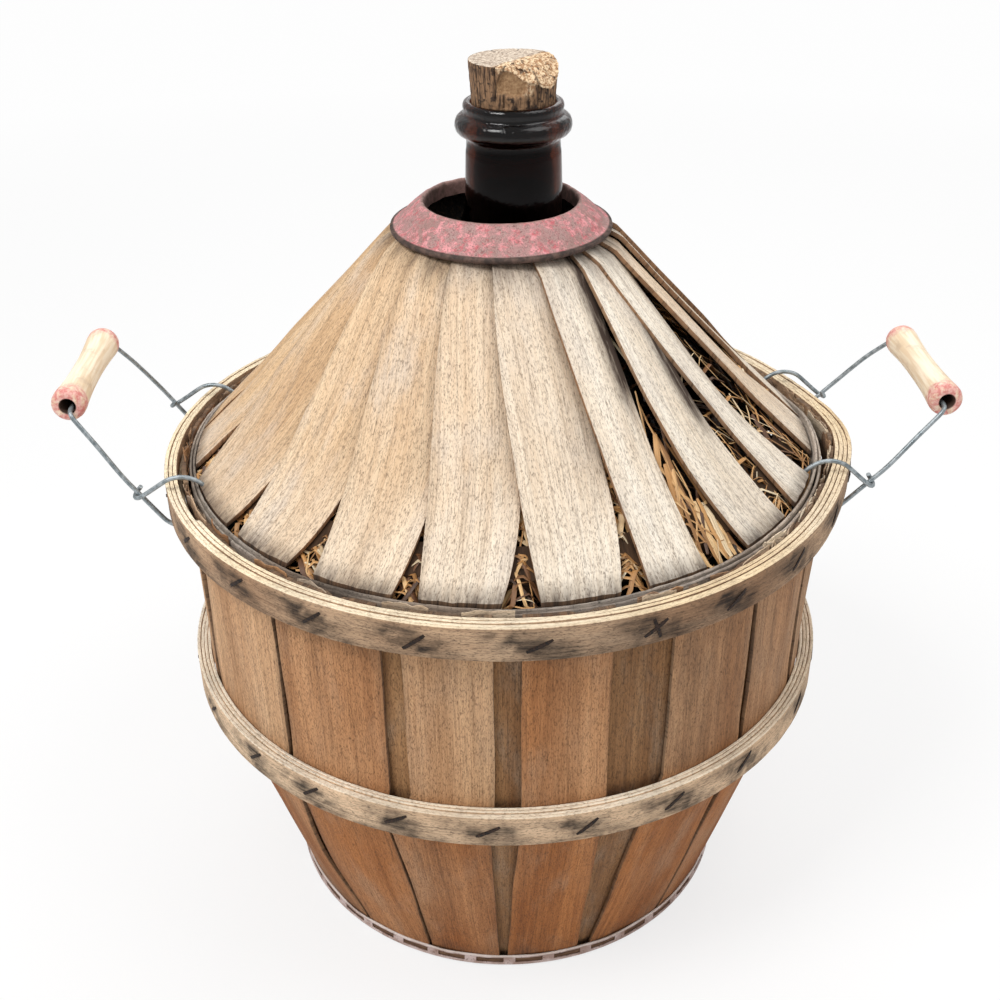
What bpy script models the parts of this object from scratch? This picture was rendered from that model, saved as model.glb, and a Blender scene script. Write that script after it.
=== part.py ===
"""Demijohn in a chip-wood basket.

A glass bottle stands in straw inside a basket of bent wooden staves. Lapped slats
form a pointed roof from the basket's rim up to a pressed collar round the neck.
A cork closes the bottle. Two wire bails with turned wooden grips hang on the rim.

The frame has its origin on the floor under the middle of the basket, +Z up and
the bails on +X and -X. Angles round the basket start at -Y and turn towards +X.
"""

import math

import bmesh
import bpy

MM = 0.001

# Fits
GAP = 0.3 * MM  # between pieces that touch
FLOOR_GAP = 0.6 * MM  # the staves and the band end this far above the floor
LAP_GAP = 0.5 * MM  # between lapped slats

# Facets of the curved pieces
HOOP_SIDES = 60
BOTTLE_SIDES = 40
GRIP_SIDES = 20
STAVE_FACETS = 3
SLAT_FACETS = 3

# Bottle
BOTTLE_R = 166.0 * MM
BOTTLE_FOOT_R = 118.0 * MM
BOTTLE_HEEL = 14.0 * MM
BOTTLE_PUNT = 14.0 * MM
BOTTLE_WALL = 4.0 * MM
BOTTLE_EASE = 4.0 * MM  # the belly starts this much narrower than it ends
BELLY_H = 131.0 * MM  # from the bottle's foot to the belly
STRAIGHT_H = 65.0 * MM  # height of the belly
SHOULDER_H = 225.0 * MM
NECK_H = 55.5 * MM
NECK_R = 26.0 * MM
NECK_WALL = 3.7 * MM
LIP_BEVEL = 1.2 * MM
RING_PROUD = 5.3 * MM
RING_DROP = 12.0 * MM  # from the mouth to the middle of the ring
RING_H = 8.0 * MM
BOTTLE_X = 7.0 * MM  # it stands a little off the middle of the basket

# Cork
CORK_DEPTH = 27.0 * MM
CORK_PROUD = 21.5 * MM
CORK_TAPER = 0.065
CORK_BEVEL = 1.5 * MM

# Straw round the bottle
STRAW_PAD = 6.0 * MM
STRAW_AT_FOOT = 9.0 * MM
STRAW_AT_BELLY = 7.4 * MM
STRAW_FIT = 0.6 * MM
STRAW_STEP = 2.0 * MM

# Wall of the basket: as many outer staves as roof slats
COUNT = 20
STAVE_T = 3.0 * MM
INNER_STAVE_T = 3.0 * MM
STAVE_GAP = 11.0 * MM
FOOT_GAP_SHARE = 0.3  # a gap narrows to this share of itself at the floor
INNER_STAVE_GAP = 1.0 * MM
RIM_FLARE = 2.4 * MM
BEND_ABOVE_BELLY = 9.0 * MM
BEND_LENGTH = 36.0 * MM
BEND_ROUNDING = 1.2 * MM
RIM_ABOVE_SHOULDER = 85.6 * MM

# The staves are split by hand: gap number, its shift in degrees and its width
UNEVEN_GAPS = {
    -3: (-6.0, 6.0 * MM),
    -2: (-3.0, 4.0 * MM),
    -1: (-1.0, 10.0 * MM),
    0: (-1.5, 14.0 * MM),
    1: (1.5, 32.0 * MM),
    2: (5.5, 4.0 * MM),
    3: (6.5, 6.0 * MM),
}

# Hoops, band and base
TOP_HOOP_H = 20.0 * MM
TOP_HOOP_T = 10.0 * MM
TOP_HOOP_DROP = 1.5 * MM  # below the staves' tops
MIDDLE_HOOP_H = 20.0 * MM
MIDDLE_HOOP_T = 9.0 * MM
MIDDLE_HOOP_RISE = 6.0 * MM  # above the staves' bend
RETAINING_HOOP_H = 19.0 * MM
RETAINING_HOOP_T = 4.0 * MM
BASE_BAND_H = 7.5 * MM
BASE_BAND_T = 1.2 * MM
BASE_DISC_H = 12.0 * MM

# Roof of lapped slats
SLAT_T = 2.5 * MM
SLAT_FOOT_W = 40.5 * MM
SLAT_TOP_W = 28.0 * MM
SLAT_FOOT_DROP = 1.5 * MM  # below the staves' tops
SLAT_MEET_R = 126.0 * MM  # inside this radius neighbours lap
SLAT_LEVEL_R = 150.0 * MM  # outside this radius the slats lie flat
ROOF_BELOW_NECK = 21.0 * MM  # the roof flattens this far below the neck's foot
COLLAR_SLOPE = 0.5  # rise of the flattened part
ROOF_HOOP_W = 12.0 * MM
ROOF_HOOP_H = 8.0 * MM

# Collar
NECK_ROOM = 16.0 * MM
COLLAR_W = 19.2 * MM
COLLAR_RISE = 14.5 * MM
COLLAR_BEAD = 1.9 * MM
COLLAR_T = 1.2 * MM
COLLAR_FLANGE_H = 6.0 * MM
SLAT_COVER = 11.0 * MM  # length of slat hidden by the collar
COLLAR_BEND_ROOM = 2.8 * MM
BACKING_RING_W = 12.0 * MM
BACKING_RING_T = 1.5 * MM

# Bails
WIRE_R = 1.3 * MM
EYE_PLAY = 1.0 * MM
EYE_TAIL = 3.0 * MM
EYE_ROOM = 3.0 * MM
BAIL_GAP_NUMBER = 4  # the eyes go through these gaps of the staves
BAIL_REACH = 76.0 * MM
BAIL_STRAIGHT = 32.0 * MM
BAIL_BEND = 6.0 * MM
LEFT_BAIL_ANGLE = 55.0
RIGHT_BAIL_ANGLE = 46.0
GRIP_LENGTH = 90.0 * MM
GRIP_END_R = 9.8 * MM
GRIP_WAIST_R = 8.0 * MM
GRIP_BORE_R = 4.2 * MM
GRIP_ROUNDING = 2.5 * MM

# Heights that follow
BOTTLE_FOOT_Z = BASE_DISC_H + GAP + STRAW_PAD + STRAW_FIT
BELLY_Z = BOTTLE_FOOT_Z + BELLY_H
SHOULDER_Z = BELLY_Z + STRAIGHT_H
NECK_Z = SHOULDER_Z + SHOULDER_H
MOUTH_Z = NECK_Z + NECK_H
STAVE_BEND_Z = BELLY_Z + BEND_ABOVE_BELLY
STAVE_TOP_Z = SHOULDER_Z + RIM_ABOVE_SHOULDER
TOP_HOOP_Z = STAVE_TOP_Z - TOP_HOOP_DROP - TOP_HOOP_H / 2
MIDDLE_HOOP_Z = STAVE_BEND_Z + MIDDLE_HOOP_RISE
SLAT_FOOT_Z = STAVE_TOP_Z - SLAT_FOOT_DROP
ROOF_TOP_Z = NECK_Z - ROOF_BELOW_NECK

# Radii that follow
WALL_T = STAVE_T + INNER_STAVE_T + 2 * GAP
STAVE_FOOT_R = BOTTLE_X + BOTTLE_FOOT_R + STRAW_AT_FOOT + WALL_T
STAVE_BEND_R = BOTTLE_X + BOTTLE_R + STRAW_AT_BELLY + WALL_T
STAVE_TOP_R = STAVE_BEND_R + RIM_FLARE
CORK_MOUTH_R = NECK_R - NECK_WALL
COLLAR_HOLE_R = NECK_R + NECK_ROOM
COLLAR_R = COLLAR_HOLE_R + COLLAR_W
COLLAR_BEND_R = COLLAR_R + COLLAR_BEND_ROOM
SLAT_TOP_R = COLLAR_R - SLAT_COVER


def lerp(a, b, t):
    """Value between a and b."""
    return a + (b - a) * t


def around(radius, angle, z):
    """Point at a radius, at an angle from the front and at a height."""
    return (radius * math.sin(angle), -radius * math.cos(angle), z)


def outside(radius, sides=HOOP_SIDES):
    """Corner radius of a polygon that stays outside a circle with the usual gap."""
    return (radius + GAP) / math.cos(math.pi / sides)


def inside(radius, facet=math.radians(6)):
    """Corner radius that stays inside a faceted ring with the usual gap."""
    return radius * math.cos(facet / 2) - GAP


# Scene and materials


def clear_scene():
    for old in list(bpy.data.objects):
        bpy.data.objects.remove(old, do_unlink=True)


def material(name, colour, roughness, metallic=0.0, alpha=1.0):
    made = bpy.data.materials.new(name)
    made.use_nodes = True
    shader = made.node_tree.nodes["Principled BSDF"]
    shader.inputs["Base Color"].default_value = (*colour, 1.0)
    shader.inputs["Roughness"].default_value = roughness
    shader.inputs["Metallic"].default_value = metallic
    shader.inputs["Alpha"].default_value = alpha
    made.diffuse_color = (*colour, alpha)
    return made


def add_mesh(name, bm, surface, smooth_angle=35.0):
    """Turn a bmesh into a named object with its faces outward."""
    bmesh.ops.recalc_face_normals(bm, faces=bm.faces)
    mesh = bpy.data.meshes.new(name)
    bm.to_mesh(mesh)
    bm.free()
    mesh.shade_smooth()
    mesh.set_sharp_from_angle(angle=math.radians(smooth_angle))
    mesh.materials.append(surface)
    made = bpy.data.objects.new(name, mesh)
    bpy.context.collection.objects.link(made)
    return made


# Two ways of making a piece


def turned(name, outline, surface, sides, closed=True):
    """Spin an outline of (radius, height) points about the Z axis."""
    bm = bmesh.new()
    corners = [bm.verts.new((r, 0.0, z)) for r, z in outline]
    edges = [bm.edges.new(pair) for pair in zip(corners, corners[1:])]
    if closed:
        edges.append(bm.edges.new((corners[-1], corners[0])))
    bmesh.ops.spin(
        bm,
        geom=corners + edges,
        cent=(0, 0, 0),
        axis=(0, 0, 1),
        angle=math.tau,
        steps=sides,
        use_duplicate=False,
    )
    bmesh.ops.remove_doubles(bm, verts=bm.verts, dist=0.01 * MM)
    return add_mesh(name, bm, surface)


def add_board(bm, sections):
    """Loft a closed board through sections, each an outer and an inner row of points."""
    rows = []
    for outer, inner in sections:
        rows.append(([bm.verts.new(p) for p in outer], [bm.verts.new(p) for p in inner]))
    for (outer_a, inner_a), (outer_b, inner_b) in zip(rows, rows[1:]):
        for i in range(len(outer_a) - 1):
            bm.faces.new((outer_a[i], outer_a[i + 1], outer_b[i + 1], outer_b[i]))
            bm.faces.new((inner_a[i], inner_b[i], inner_b[i + 1], inner_a[i + 1]))
        bm.faces.new((outer_a[0], outer_b[0], inner_b[0], inner_a[0]))
        bm.faces.new((outer_a[-1], inner_a[-1], inner_b[-1], outer_b[-1]))
    for outer, inner in (rows[0], rows[-1]):
        for i in range(len(outer) - 1):
            bm.faces.new((outer[i], outer[i + 1], inner[i + 1], inner[i]))


# Wall of the basket


def wall_outline():
    """Heights and radii of the staves' outer face, from the floor to the rim."""
    half = BEND_LENGTH / 2
    below = lerp(STAVE_FOOT_R, STAVE_BEND_R, (STAVE_BEND_Z - half) / STAVE_BEND_Z)
    above = lerp(STAVE_BEND_R, STAVE_TOP_R, half / (STAVE_TOP_Z - STAVE_BEND_Z))
    return [
        (0.0, STAVE_FOOT_R),
        (STAVE_BEND_Z - half, below),
        (STAVE_BEND_Z, STAVE_BEND_R - BEND_ROUNDING),
        (STAVE_BEND_Z + half, above),
        (STAVE_TOP_Z, STAVE_TOP_R),
    ]


def wall_radius(z):
    """Radius of the staves' outer face at a height."""
    stations = wall_outline()
    for (z0, r0), (z1, r1) in zip(stations, stations[1:]):
        if z <= z1:
            return lerp(r0, r1, (z - z0) / (z1 - z0))
    return stations[-1][1]


def inner_wall_radius(z):
    """Radius of the inner staves' outer face at a height."""
    return inside(wall_radius(z) - STAVE_T)


def gap_angle(index):
    """Angle of the middle of a gap between two outer staves."""
    shift = UNEVEN_GAPS.get(index, (0.0, STAVE_GAP))[0]
    return math.tau * index / COUNT + math.radians(shift)


def gap_width(index, z):
    """Width of a gap between two outer staves at a height."""
    full = UNEVEN_GAPS.get(index, (0.0, STAVE_GAP))[1]
    share = min(z / STAVE_BEND_Z, 1.0)
    return full * lerp(FOOT_GAP_SHARE, 1.0, share)


def arc_rows(z, start, end, outer_r, thickness, facets):
    """Outer and inner row of points of a curved board at one height."""
    angles = [lerp(start, end, i / facets) for i in range(facets + 1)]
    outer = [around(outer_r, a, z) for a in angles]
    inner = [around(outer_r - thickness, a, z) for a in angles]
    return outer, inner


def wall_heights(top):
    """Heights at which a stave gets a row of points."""
    bends = [z for z, _ in wall_outline()[1:-1] if z < top]
    return [FLOOR_GAP] + bends + [top]


def gap_number(position):
    """Number of a gap, counted so that the front gap is 0 and the back is both ends."""
    half = COUNT // 2
    return (position + half) % COUNT - half


def turn_to(position):
    """Angle of a gap, with whole turns added so that positions keep rising."""
    number = gap_number(position)
    return gap_angle(number) + math.tau * (position - number) / COUNT


def outer_staves(surface):
    """Outer staves, each between two neighbouring gaps."""
    for position in range(COUNT):
        sections = []
        for z in wall_heights(STAVE_TOP_Z):
            radius = wall_radius(z)
            start = turn_to(position) + gap_width(gap_number(position), z) / 2 / radius
            end = turn_to(position + 1) - gap_width(gap_number(position + 1), z) / 2 / radius
            sections.append(arc_rows(z, start, end, radius, STAVE_T, STAVE_FACETS))
        bm = bmesh.new()
        add_board(bm, sections)
        add_mesh(f"outer_stave_{position + 1:02d}", bm, surface)


def low_stave_top():
    """Staves behind the bails' eyes end below the sweep of the eyes' tails."""
    tail = math.hypot(eye_radius(), eye_radius() + EYE_TAIL)
    return hinge_z() - tail - WIRE_R - EYE_PLAY


def inner_staves(surface):
    """Four panels of inner staves, each stave behind one gap of the outer ones."""
    tops = {
        "front": retaining_hoop_low() - GAP,
        "right": low_stave_top(),
        "back": retaining_hoop_low() - GAP,
        "left": low_stave_top(),
    }
    ends = [math.floor(i * COUNT / 4 - COUNT / 8 + 0.5) for i in range(5)]
    for (side, top), first, last in zip(tops.items(), ends, ends[1:]):
        before = (turn_to(first - 1) + turn_to(first)) / 2
        after = (turn_to(last - 1) + turn_to(last)) / 2
        sections = []
        for z in wall_heights(top):
            radius = inner_wall_radius(z)
            trim = INNER_STAVE_GAP / 2 / radius
            facets = (last - first) * STAVE_FACETS
            rows = arc_rows(z, before + trim, after - trim, radius, INNER_STAVE_T, facets)
            sections.append(rows)
        bm = bmesh.new()
        add_board(bm, sections)
        add_mesh(f"inner_staves_{side}", bm, surface)


# Hoops


def hoop(name, inner_r, thickness, low, high, surface):
    """Plain hoop of bent wood."""
    outer_r = inner_r + thickness
    outline = [(inner_r, low), (outer_r, low), (outer_r, high), (inner_r, high)]
    return turned(name, outline, surface, HOOP_SIDES)


def top_hoop_radii():
    inner = outside(STAVE_TOP_R)
    return inner, inner + TOP_HOOP_T


def middle_hoop_radii():
    inner = outside(wall_radius(MIDDLE_HOOP_Z + MIDDLE_HOOP_H / 2))
    return inner, inner + MIDDLE_HOOP_T


def retaining_hoop_radii():
    outer = inside(wall_radius(TOP_HOOP_Z - TOP_HOOP_H / 2) - STAVE_T)
    return outer - RETAINING_HOOP_T, outer


def retaining_hoop_low():
    return slat_foot_top() + GAP - RETAINING_HOOP_H


def rim_hoops(surface):
    """Top hoop outside the staves, middle hoop, and the hoop that holds the slats' feet."""
    low = TOP_HOOP_Z - TOP_HOOP_H / 2
    hoop("top_hoop", top_hoop_radii()[0], TOP_HOOP_T, low, low + TOP_HOOP_H, surface)
    low = MIDDLE_HOOP_Z - MIDDLE_HOOP_H / 2
    hoop("middle_hoop", middle_hoop_radii()[0], MIDDLE_HOOP_T, low, low + MIDDLE_HOOP_H, surface)
    low = retaining_hoop_low()
    inner_r = retaining_hoop_radii()[0]
    hoop("retaining_hoop", inner_r, RETAINING_HOOP_T, low, low + RETAINING_HOOP_H, surface)


def roof_hoop_r():
    """Outer radius of the hoop under the slats, clear of the bails' eyes."""
    return math.hypot(hinge_x() - eye_radius() - WIRE_R, bail_half_span()) - EYE_ROOM


def roof_hoop_drop():
    """Upright distance from the roof's middle surface to the top of its hoop."""
    return roof_drop(SLAT_T / 2 + 2 * GAP)


def roof_hoop(surface):
    """Hoop under the slats' feet, its top face sloped like the roof."""
    outer_r = roof_hoop_r()
    inner_r = outer_r - ROOF_HOOP_W
    outer_z = roof_height(outer_r) - roof_hoop_drop()
    inner_z = roof_height(inner_r) - roof_hoop_drop()
    outline = [
        (inner_r, inner_z - ROOF_HOOP_H),
        (outer_r, outer_z - ROOF_HOOP_H),
        (outer_r, outer_z),
        (inner_r, inner_z),
    ]
    turned("roof_hoop", outline, surface, HOOP_SIDES)


def base_pieces(wood, metal):
    """Wooden disc inside the staves' feet, and the metal band round them."""
    floor_r = inside(inner_wall_radius(0.0) - INNER_STAVE_T)
    top_r = inside(inner_wall_radius(BASE_DISC_H) - INNER_STAVE_T)
    outline = [(0.0, 0.0), (floor_r, 0.0), (top_r, BASE_DISC_H), (0.0, BASE_DISC_H)]
    turned("base_disc", outline, wood, HOOP_SIDES, closed=False)
    low = FLOOR_GAP
    high = low + BASE_BAND_H
    low_r = outside(wall_radius(low))
    high_r = outside(wall_radius(high))
    outline = [(low_r, low), (low_r + BASE_BAND_T, low), (high_r + BASE_BAND_T, high), (high_r, high)]
    turned("base_band", outline, metal, HOOP_SIDES)


# Roof


def slat_foot_r():
    """Radius of the middle of a slat's foot, inside the retaining hoop."""
    free = retaining_hoop_radii()[0] * math.cos(math.pi / HOOP_SIDES)
    return free - GAP - SLAT_T / 2


def roof_slope():
    """Rise of the roof for each length that it runs inward."""
    return (ROOF_TOP_Z - SLAT_FOOT_Z) / (slat_foot_r() - COLLAR_BEND_R)


def slat_foot_top():
    """Height of the upper corner of a slat's foot."""
    return SLAT_FOOT_Z + SLAT_T / 2 / math.hypot(1.0, roof_slope())


def roof_height(radius):
    """Height of the roof's middle surface at a radius."""
    if radius >= COLLAR_BEND_R:
        return SLAT_FOOT_Z + (slat_foot_r() - radius) * roof_slope()
    return ROOF_TOP_Z + (COLLAR_BEND_R - radius) * COLLAR_SLOPE


def roof_drop(thickness):
    """Upright distance that spans a thickness measured square to the roof."""
    return thickness * math.hypot(1.0, roof_slope())


def collar_drop(thickness):
    """The same for the flattened part under the collar."""
    return thickness * math.hypot(1.0, COLLAR_SLOPE)


def roof_normal(radius):
    """Outward and upward parts of the roof's normal at a radius."""
    slope = roof_slope() if radius > COLLAR_BEND_R else COLLAR_SLOPE
    if radius == COLLAR_BEND_R:
        slope = (roof_slope() + COLLAR_SLOPE) / 2
    length = math.hypot(1.0, slope)
    return slope / length, 1.0 / length


def slat_pitch(radius):
    """Distance between neighbouring slats at a radius."""
    return math.tau * radius / COUNT


def slat_width(radius):
    if radius >= SLAT_MEET_R:
        share = (radius - SLAT_MEET_R) / (slat_foot_r() - SLAT_MEET_R)
        return lerp(slat_pitch(SLAT_MEET_R) - LAP_GAP, SLAT_FOOT_W, share)
    share = (SLAT_MEET_R - radius) / (SLAT_MEET_R - SLAT_TOP_R)
    return lerp(slat_pitch(SLAT_MEET_R) - LAP_GAP, SLAT_TOP_W, share)


def slat_lift(radius):
    """Height by which a slat climbs over its neighbour within one pitch."""
    if radius >= SLAT_LEVEL_R:
        return 0.0
    share = (SLAT_LEVEL_R - radius) / (SLAT_LEVEL_R - SLAT_MEET_R)
    return (SLAT_T + LAP_GAP) * min(share, 1.0)


def slat_rows(radius, middle):
    """Upper and lower row of points of a slat at one radius."""
    out, up = roof_normal(radius)
    upper = []
    lower = []
    for i in range(SLAT_FACETS + 1):
        across = slat_width(radius) * (i / SLAT_FACETS - 0.5)
        climb = -slat_lift(radius) * across / slat_pitch(radius)
        angle = middle + across / radius
        for row, side in ((upper, 0.5), (lower, -0.5)):
            height = climb + SLAT_T * side
            row.append(around(radius + height * out, angle, roof_height(radius) + height * up))
    return upper, lower


def roof_slats(surface):
    """Slats of the roof, each lapping over the next one towards the left."""
    halfway = (SLAT_MEET_R + COLLAR_BEND_R) / 2
    radii = [slat_foot_r(), SLAT_LEVEL_R, SLAT_MEET_R, halfway, COLLAR_BEND_R, SLAT_TOP_R]
    for index in range(COUNT):
        middle = math.tau * (index + 0.5) / COUNT
        bm = bmesh.new()
        add_board(bm, [slat_rows(radius, middle) for radius in radii])
        add_mesh(f"roof_slat_{index + 1:02d}", bm, surface)


def slat_reach(radius):
    """How far a slat's raised edge stands off the roof's middle surface."""
    climb = slat_lift(radius) * slat_width(radius) / slat_pitch(radius) / 2
    return climb + SLAT_T / 2


def collar(surface):
    """Pressed collar over the slats' tops, with a rolled rim and a flange in its hole."""
    bead_r = COLLAR_R - COLLAR_BEAD
    bead_in_r = bead_r - COLLAR_BEAD
    seat = roof_height(bead_in_r) + collar_drop(slat_reach(bead_in_r))
    bead_z = seat + GAP + COLLAR_BEAD
    top_z = bead_z + COLLAR_RISE
    edge_r = COLLAR_HOLE_R + COLLAR_T
    bead = []
    for step in range(6):
        turn = math.radians(180 + 50 * step)
        bead.append((bead_r + COLLAR_BEAD * math.cos(turn), bead_z + COLLAR_BEAD * math.sin(turn)))
    outline = bead + [
        (edge_r + 2 * COLLAR_T, top_z - COLLAR_T),
        (edge_r, top_z),
        (COLLAR_HOLE_R, top_z - COLLAR_T / 2),
        (COLLAR_HOLE_R, top_z - COLLAR_FLANGE_H),
        (edge_r, top_z - COLLAR_FLANGE_H),
        (edge_r + COLLAR_T, top_z - 3 * COLLAR_T),
    ]
    turned("neck_collar", outline, surface, BOTTLE_SIDES)


def backing_ring(surface):
    """Ring under the slats' tops, which the collar is fixed through to."""
    outer_r = COLLAR_R - COLLAR_BEAD
    inner_r = outer_r - BACKING_RING_W
    drop = collar_drop(slat_reach(SLAT_TOP_R) + GAP)
    outer_z = roof_height(outer_r) - drop
    inner_z = roof_height(inner_r) - drop
    outline = [
        (inner_r, inner_z - BACKING_RING_T),
        (outer_r, outer_z - BACKING_RING_T),
        (outer_r, outer_z),
        (inner_r, inner_z),
    ]
    turned("collar_backing_ring", outline, surface, BOTTLE_SIDES)


# Bottle, straw and cork


def shoulder(radius, neck_r, start_z, end_z, steps=8):
    """Curve from the belly up to the foot of the neck."""
    controls = (
        (radius, start_z),
        (radius, lerp(start_z, end_z, 0.5)),
        (lerp(neck_r, radius, 0.1), lerp(start_z, end_z, 0.72)),
        (neck_r, end_z),
    )
    points = []
    for step in range(1, steps + 1):
        t = step / steps
        weights = ((1 - t) ** 3, 3 * t * (1 - t) ** 2, 3 * t * t * (1 - t), t**3)
        r = sum(w * c[0] for w, c in zip(weights, controls))
        z = sum(w * c[1] for w, c in zip(weights, controls))
        points.append((r, z))
    return points


def body_outline(grow):
    """Half outline of the bottle's body, grown outward by a distance."""
    base = BOTTLE_FOOT_Z - grow
    foot_r = BOTTLE_FOOT_R + grow
    return [
        (0.0, base + BOTTLE_PUNT),
        (foot_r * 0.55, base + BOTTLE_PUNT * 0.7),
        (foot_r * 0.82, base),
        (foot_r - BOTTLE_HEEL * 0.3, base + BOTTLE_HEEL * 0.2),
        (foot_r, base + BOTTLE_HEEL),
        (BOTTLE_R + grow - BOTTLE_EASE, BELLY_Z),
        (BOTTLE_R + grow, lerp(BELLY_Z, SHOULDER_Z, 0.5)),
        (BOTTLE_R + grow, SHOULDER_Z),
    ]


def bore_radius(z):
    """Bore of the mouth, which tapers like the cork it holds."""
    return CORK_MOUTH_R + GAP + (z - MOUTH_Z) * CORK_TAPER


def bottle(surface):
    ring_r = NECK_R + RING_PROUD
    ring_z = MOUTH_Z - RING_DROP
    bore_foot_z = MOUTH_Z - CORK_DEPTH - LIP_BEVEL
    outside_wall = body_outline(0.0) + shoulder(BOTTLE_R, NECK_R, SHOULDER_Z, NECK_Z)
    neck = [
        (NECK_R, ring_z - RING_H * 0.7),
        (ring_r, ring_z - RING_H * 0.3),
        (ring_r, ring_z + RING_H * 0.3),
        (NECK_R, ring_z + RING_H * 0.7),
        (NECK_R, MOUTH_Z - LIP_BEVEL),
        (NECK_R - LIP_BEVEL, MOUTH_Z),
        (bore_radius(MOUTH_Z), MOUTH_Z),
        (bore_radius(bore_foot_z), bore_foot_z),
    ]
    inner_r = BOTTLE_R - BOTTLE_WALL
    inner_wall = shoulder(inner_r, bore_radius(bore_foot_z), SHOULDER_Z, NECK_Z)
    inside_wall = body_outline(-BOTTLE_WALL) + inner_wall
    outline = outside_wall + neck + list(reversed(inside_wall))
    made = turned("glass_bottle", outline, surface, BOTTLE_SIDES, closed=False)
    made.location.x = BOTTLE_X


def straw_cutter(surface):
    """Space that the bottle takes out of the straw."""
    top = NECK_Z + STRAW_PAD
    outline = body_outline(STRAW_FIT)
    outline += shoulder(BOTTLE_R + STRAW_FIT, NECK_R + STRAW_FIT, SHOULDER_Z, NECK_Z)
    outline += [(NECK_R + STRAW_FIT, top), (0.0, top)]
    made = turned("straw_cutter", outline, surface, BOTTLE_SIDES, closed=False)
    made.location.x = BOTTLE_X
    made.hide_render = True
    made.display_type = "WIRE"
    return made


def straw(surface):
    """Straw packed between the bottle, the staves and the roof."""
    floor = BASE_DISC_H + GAP

    def wall(z):
        return inside(inner_wall_radius(z) - INNER_STAVE_T)

    top = low_stave_top()
    ledge_r = roof_hoop_r()
    drop = roof_hoop_drop() + ROOF_HOOP_H + GAP
    crown_z = ROOF_TOP_Z - drop
    bends = [z for z, _ in wall_outline()[1:-1]]
    outline = [(0.0, floor), (wall(floor), floor)]
    outline += [(wall(z), z) for z in bends]
    outline += [
        (wall(top), top - STRAW_STEP),
        (ledge_r, top),
        (ledge_r, roof_height(ledge_r) - drop),
        (COLLAR_BEND_R, crown_z),
        (0.0, crown_z),
    ]
    made = turned("straw_packing", outline, surface, BOTTLE_SIDES, closed=False)
    cut = made.modifiers.new("bottle_space", "BOOLEAN")
    cut.operation = "DIFFERENCE"
    cut.solver = "EXACT"
    cut.object = straw_cutter(surface)


def cork(surface):
    """Tapered cork, pushed into the mouth and standing well out of it."""
    low = MOUTH_Z - CORK_DEPTH
    high = MOUTH_Z + CORK_PROUD
    edge = CORK_BEVEL

    def radius(z):
        return bore_radius(z) - GAP

    outline = [
        (0.0, low),
        (radius(low) - edge, low),
        (radius(low + edge), low + edge),
        (radius(high - edge), high - edge),
        (radius(high) - edge, high),
        (0.0, high),
    ]
    made = turned("cork_stopper", outline, surface, BOTTLE_SIDES, closed=False)
    made.location.x = BOTTLE_X


# Bails


def rim_low_and_high():
    """Heights between which the bails' eyes hold the rim."""
    low = TOP_HOOP_Z - TOP_HOOP_H / 2
    high = max(STAVE_TOP_Z, slat_foot_top() + GAP)
    return low, high


def hinge_z():
    """The bails turn about the middle of the rim's height."""
    return sum(rim_low_and_high()) / 2


def bail_half_span():
    """Distance of an eye from the middle, through one gap of the staves."""
    rim_r = (slat_foot_r() + STAVE_TOP_R) / 2
    return rim_r * math.cos(math.tau * BAIL_GAP_NUMBER / COUNT)


def rim_near_and_far():
    """Where an eye's plane meets the inside and the outside of the rim."""
    inner = math.sqrt(retaining_hoop_radii()[0] ** 2 - bail_half_span() ** 2)
    outer = math.sqrt(top_hoop_radii()[1] ** 2 - bail_half_span() ** 2)
    return inner, outer


def hinge_x():
    """Middle of the rim's hoops where the bails' eyes go round them."""
    return sum(rim_near_and_far()) / 2


def eye_radius():
    """Middle radius of an eye that clears the corners of the rim."""
    near, far = rim_near_and_far()
    low, high = rim_low_and_high()
    return math.hypot(far - near, high - low) / 2 + WIRE_R + EYE_PLAY


def half_bail():
    """Points of half a bail, from the grip's middle to the tail of its eye.

    The hinge is at the origin, the legs run along +X, and Y goes along the grip.
    """
    end_y = GRIP_LENGTH / 2
    radius = eye_radius()
    span = bail_half_span()
    low = -radius
    points = [
        (BAIL_REACH, end_y, low),
        (BAIL_REACH - BAIL_BEND * 0.1, end_y + BAIL_BEND * 0.4, low),
        (BAIL_REACH - BAIL_BEND * 0.4, end_y + BAIL_BEND * 0.7, low),
        (BAIL_REACH - BAIL_BEND, end_y + BAIL_BEND * 0.9, low),
        (BAIL_STRAIGHT, span, low),
        (BAIL_STRAIGHT / 2, span, low),
    ]
    turn_steps = 18
    for step in range(turn_steps + 1):
        share = step / turn_steps
        turn = math.radians(-90 - 270 * share)
        side = span + lerp(0.0, 2 * WIRE_R + GAP, share)
        points.append((radius * math.cos(turn), side, radius * math.sin(turn)))
    points.append((radius, span + 2 * WIRE_R + GAP, low - EYE_TAIL))
    return points


def bail(side, sign, angle, wire, wood):
    """Wire bail with its grip, turned up about its hinge."""
    pivot = bpy.data.objects.new(f"{side}_bail_pivot", None)
    bpy.context.collection.objects.link(pivot)
    pivot.location = (sign * hinge_x(), 0.0, hinge_z())
    pivot.rotation_euler = (0.0, 0.0, 0.0 if sign > 0 else math.pi)
    half = half_bail()
    other = [(x, -y, z) for x, y, z in half]
    points = list(reversed(half)) + other
    curve = bpy.data.curves.new(f"{side}_bail_wire", "CURVE")
    curve.dimensions = "3D"
    curve.bevel_depth = WIRE_R
    curve.bevel_resolution = 2
    curve.use_fill_caps = True
    spline = curve.splines.new("POLY")
    spline.points.add(len(points) - 1)
    for target, point in zip(spline.points, points):
        target.co = (*point, 1.0)
    curve.materials.append(wire)
    made = bpy.data.objects.new(f"{side}_bail_wire", curve)
    bpy.context.collection.objects.link(made)
    made.parent = pivot
    made.rotation_euler = (0.0, -math.radians(angle), 0.0)
    grip(side, made, wood)


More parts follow.
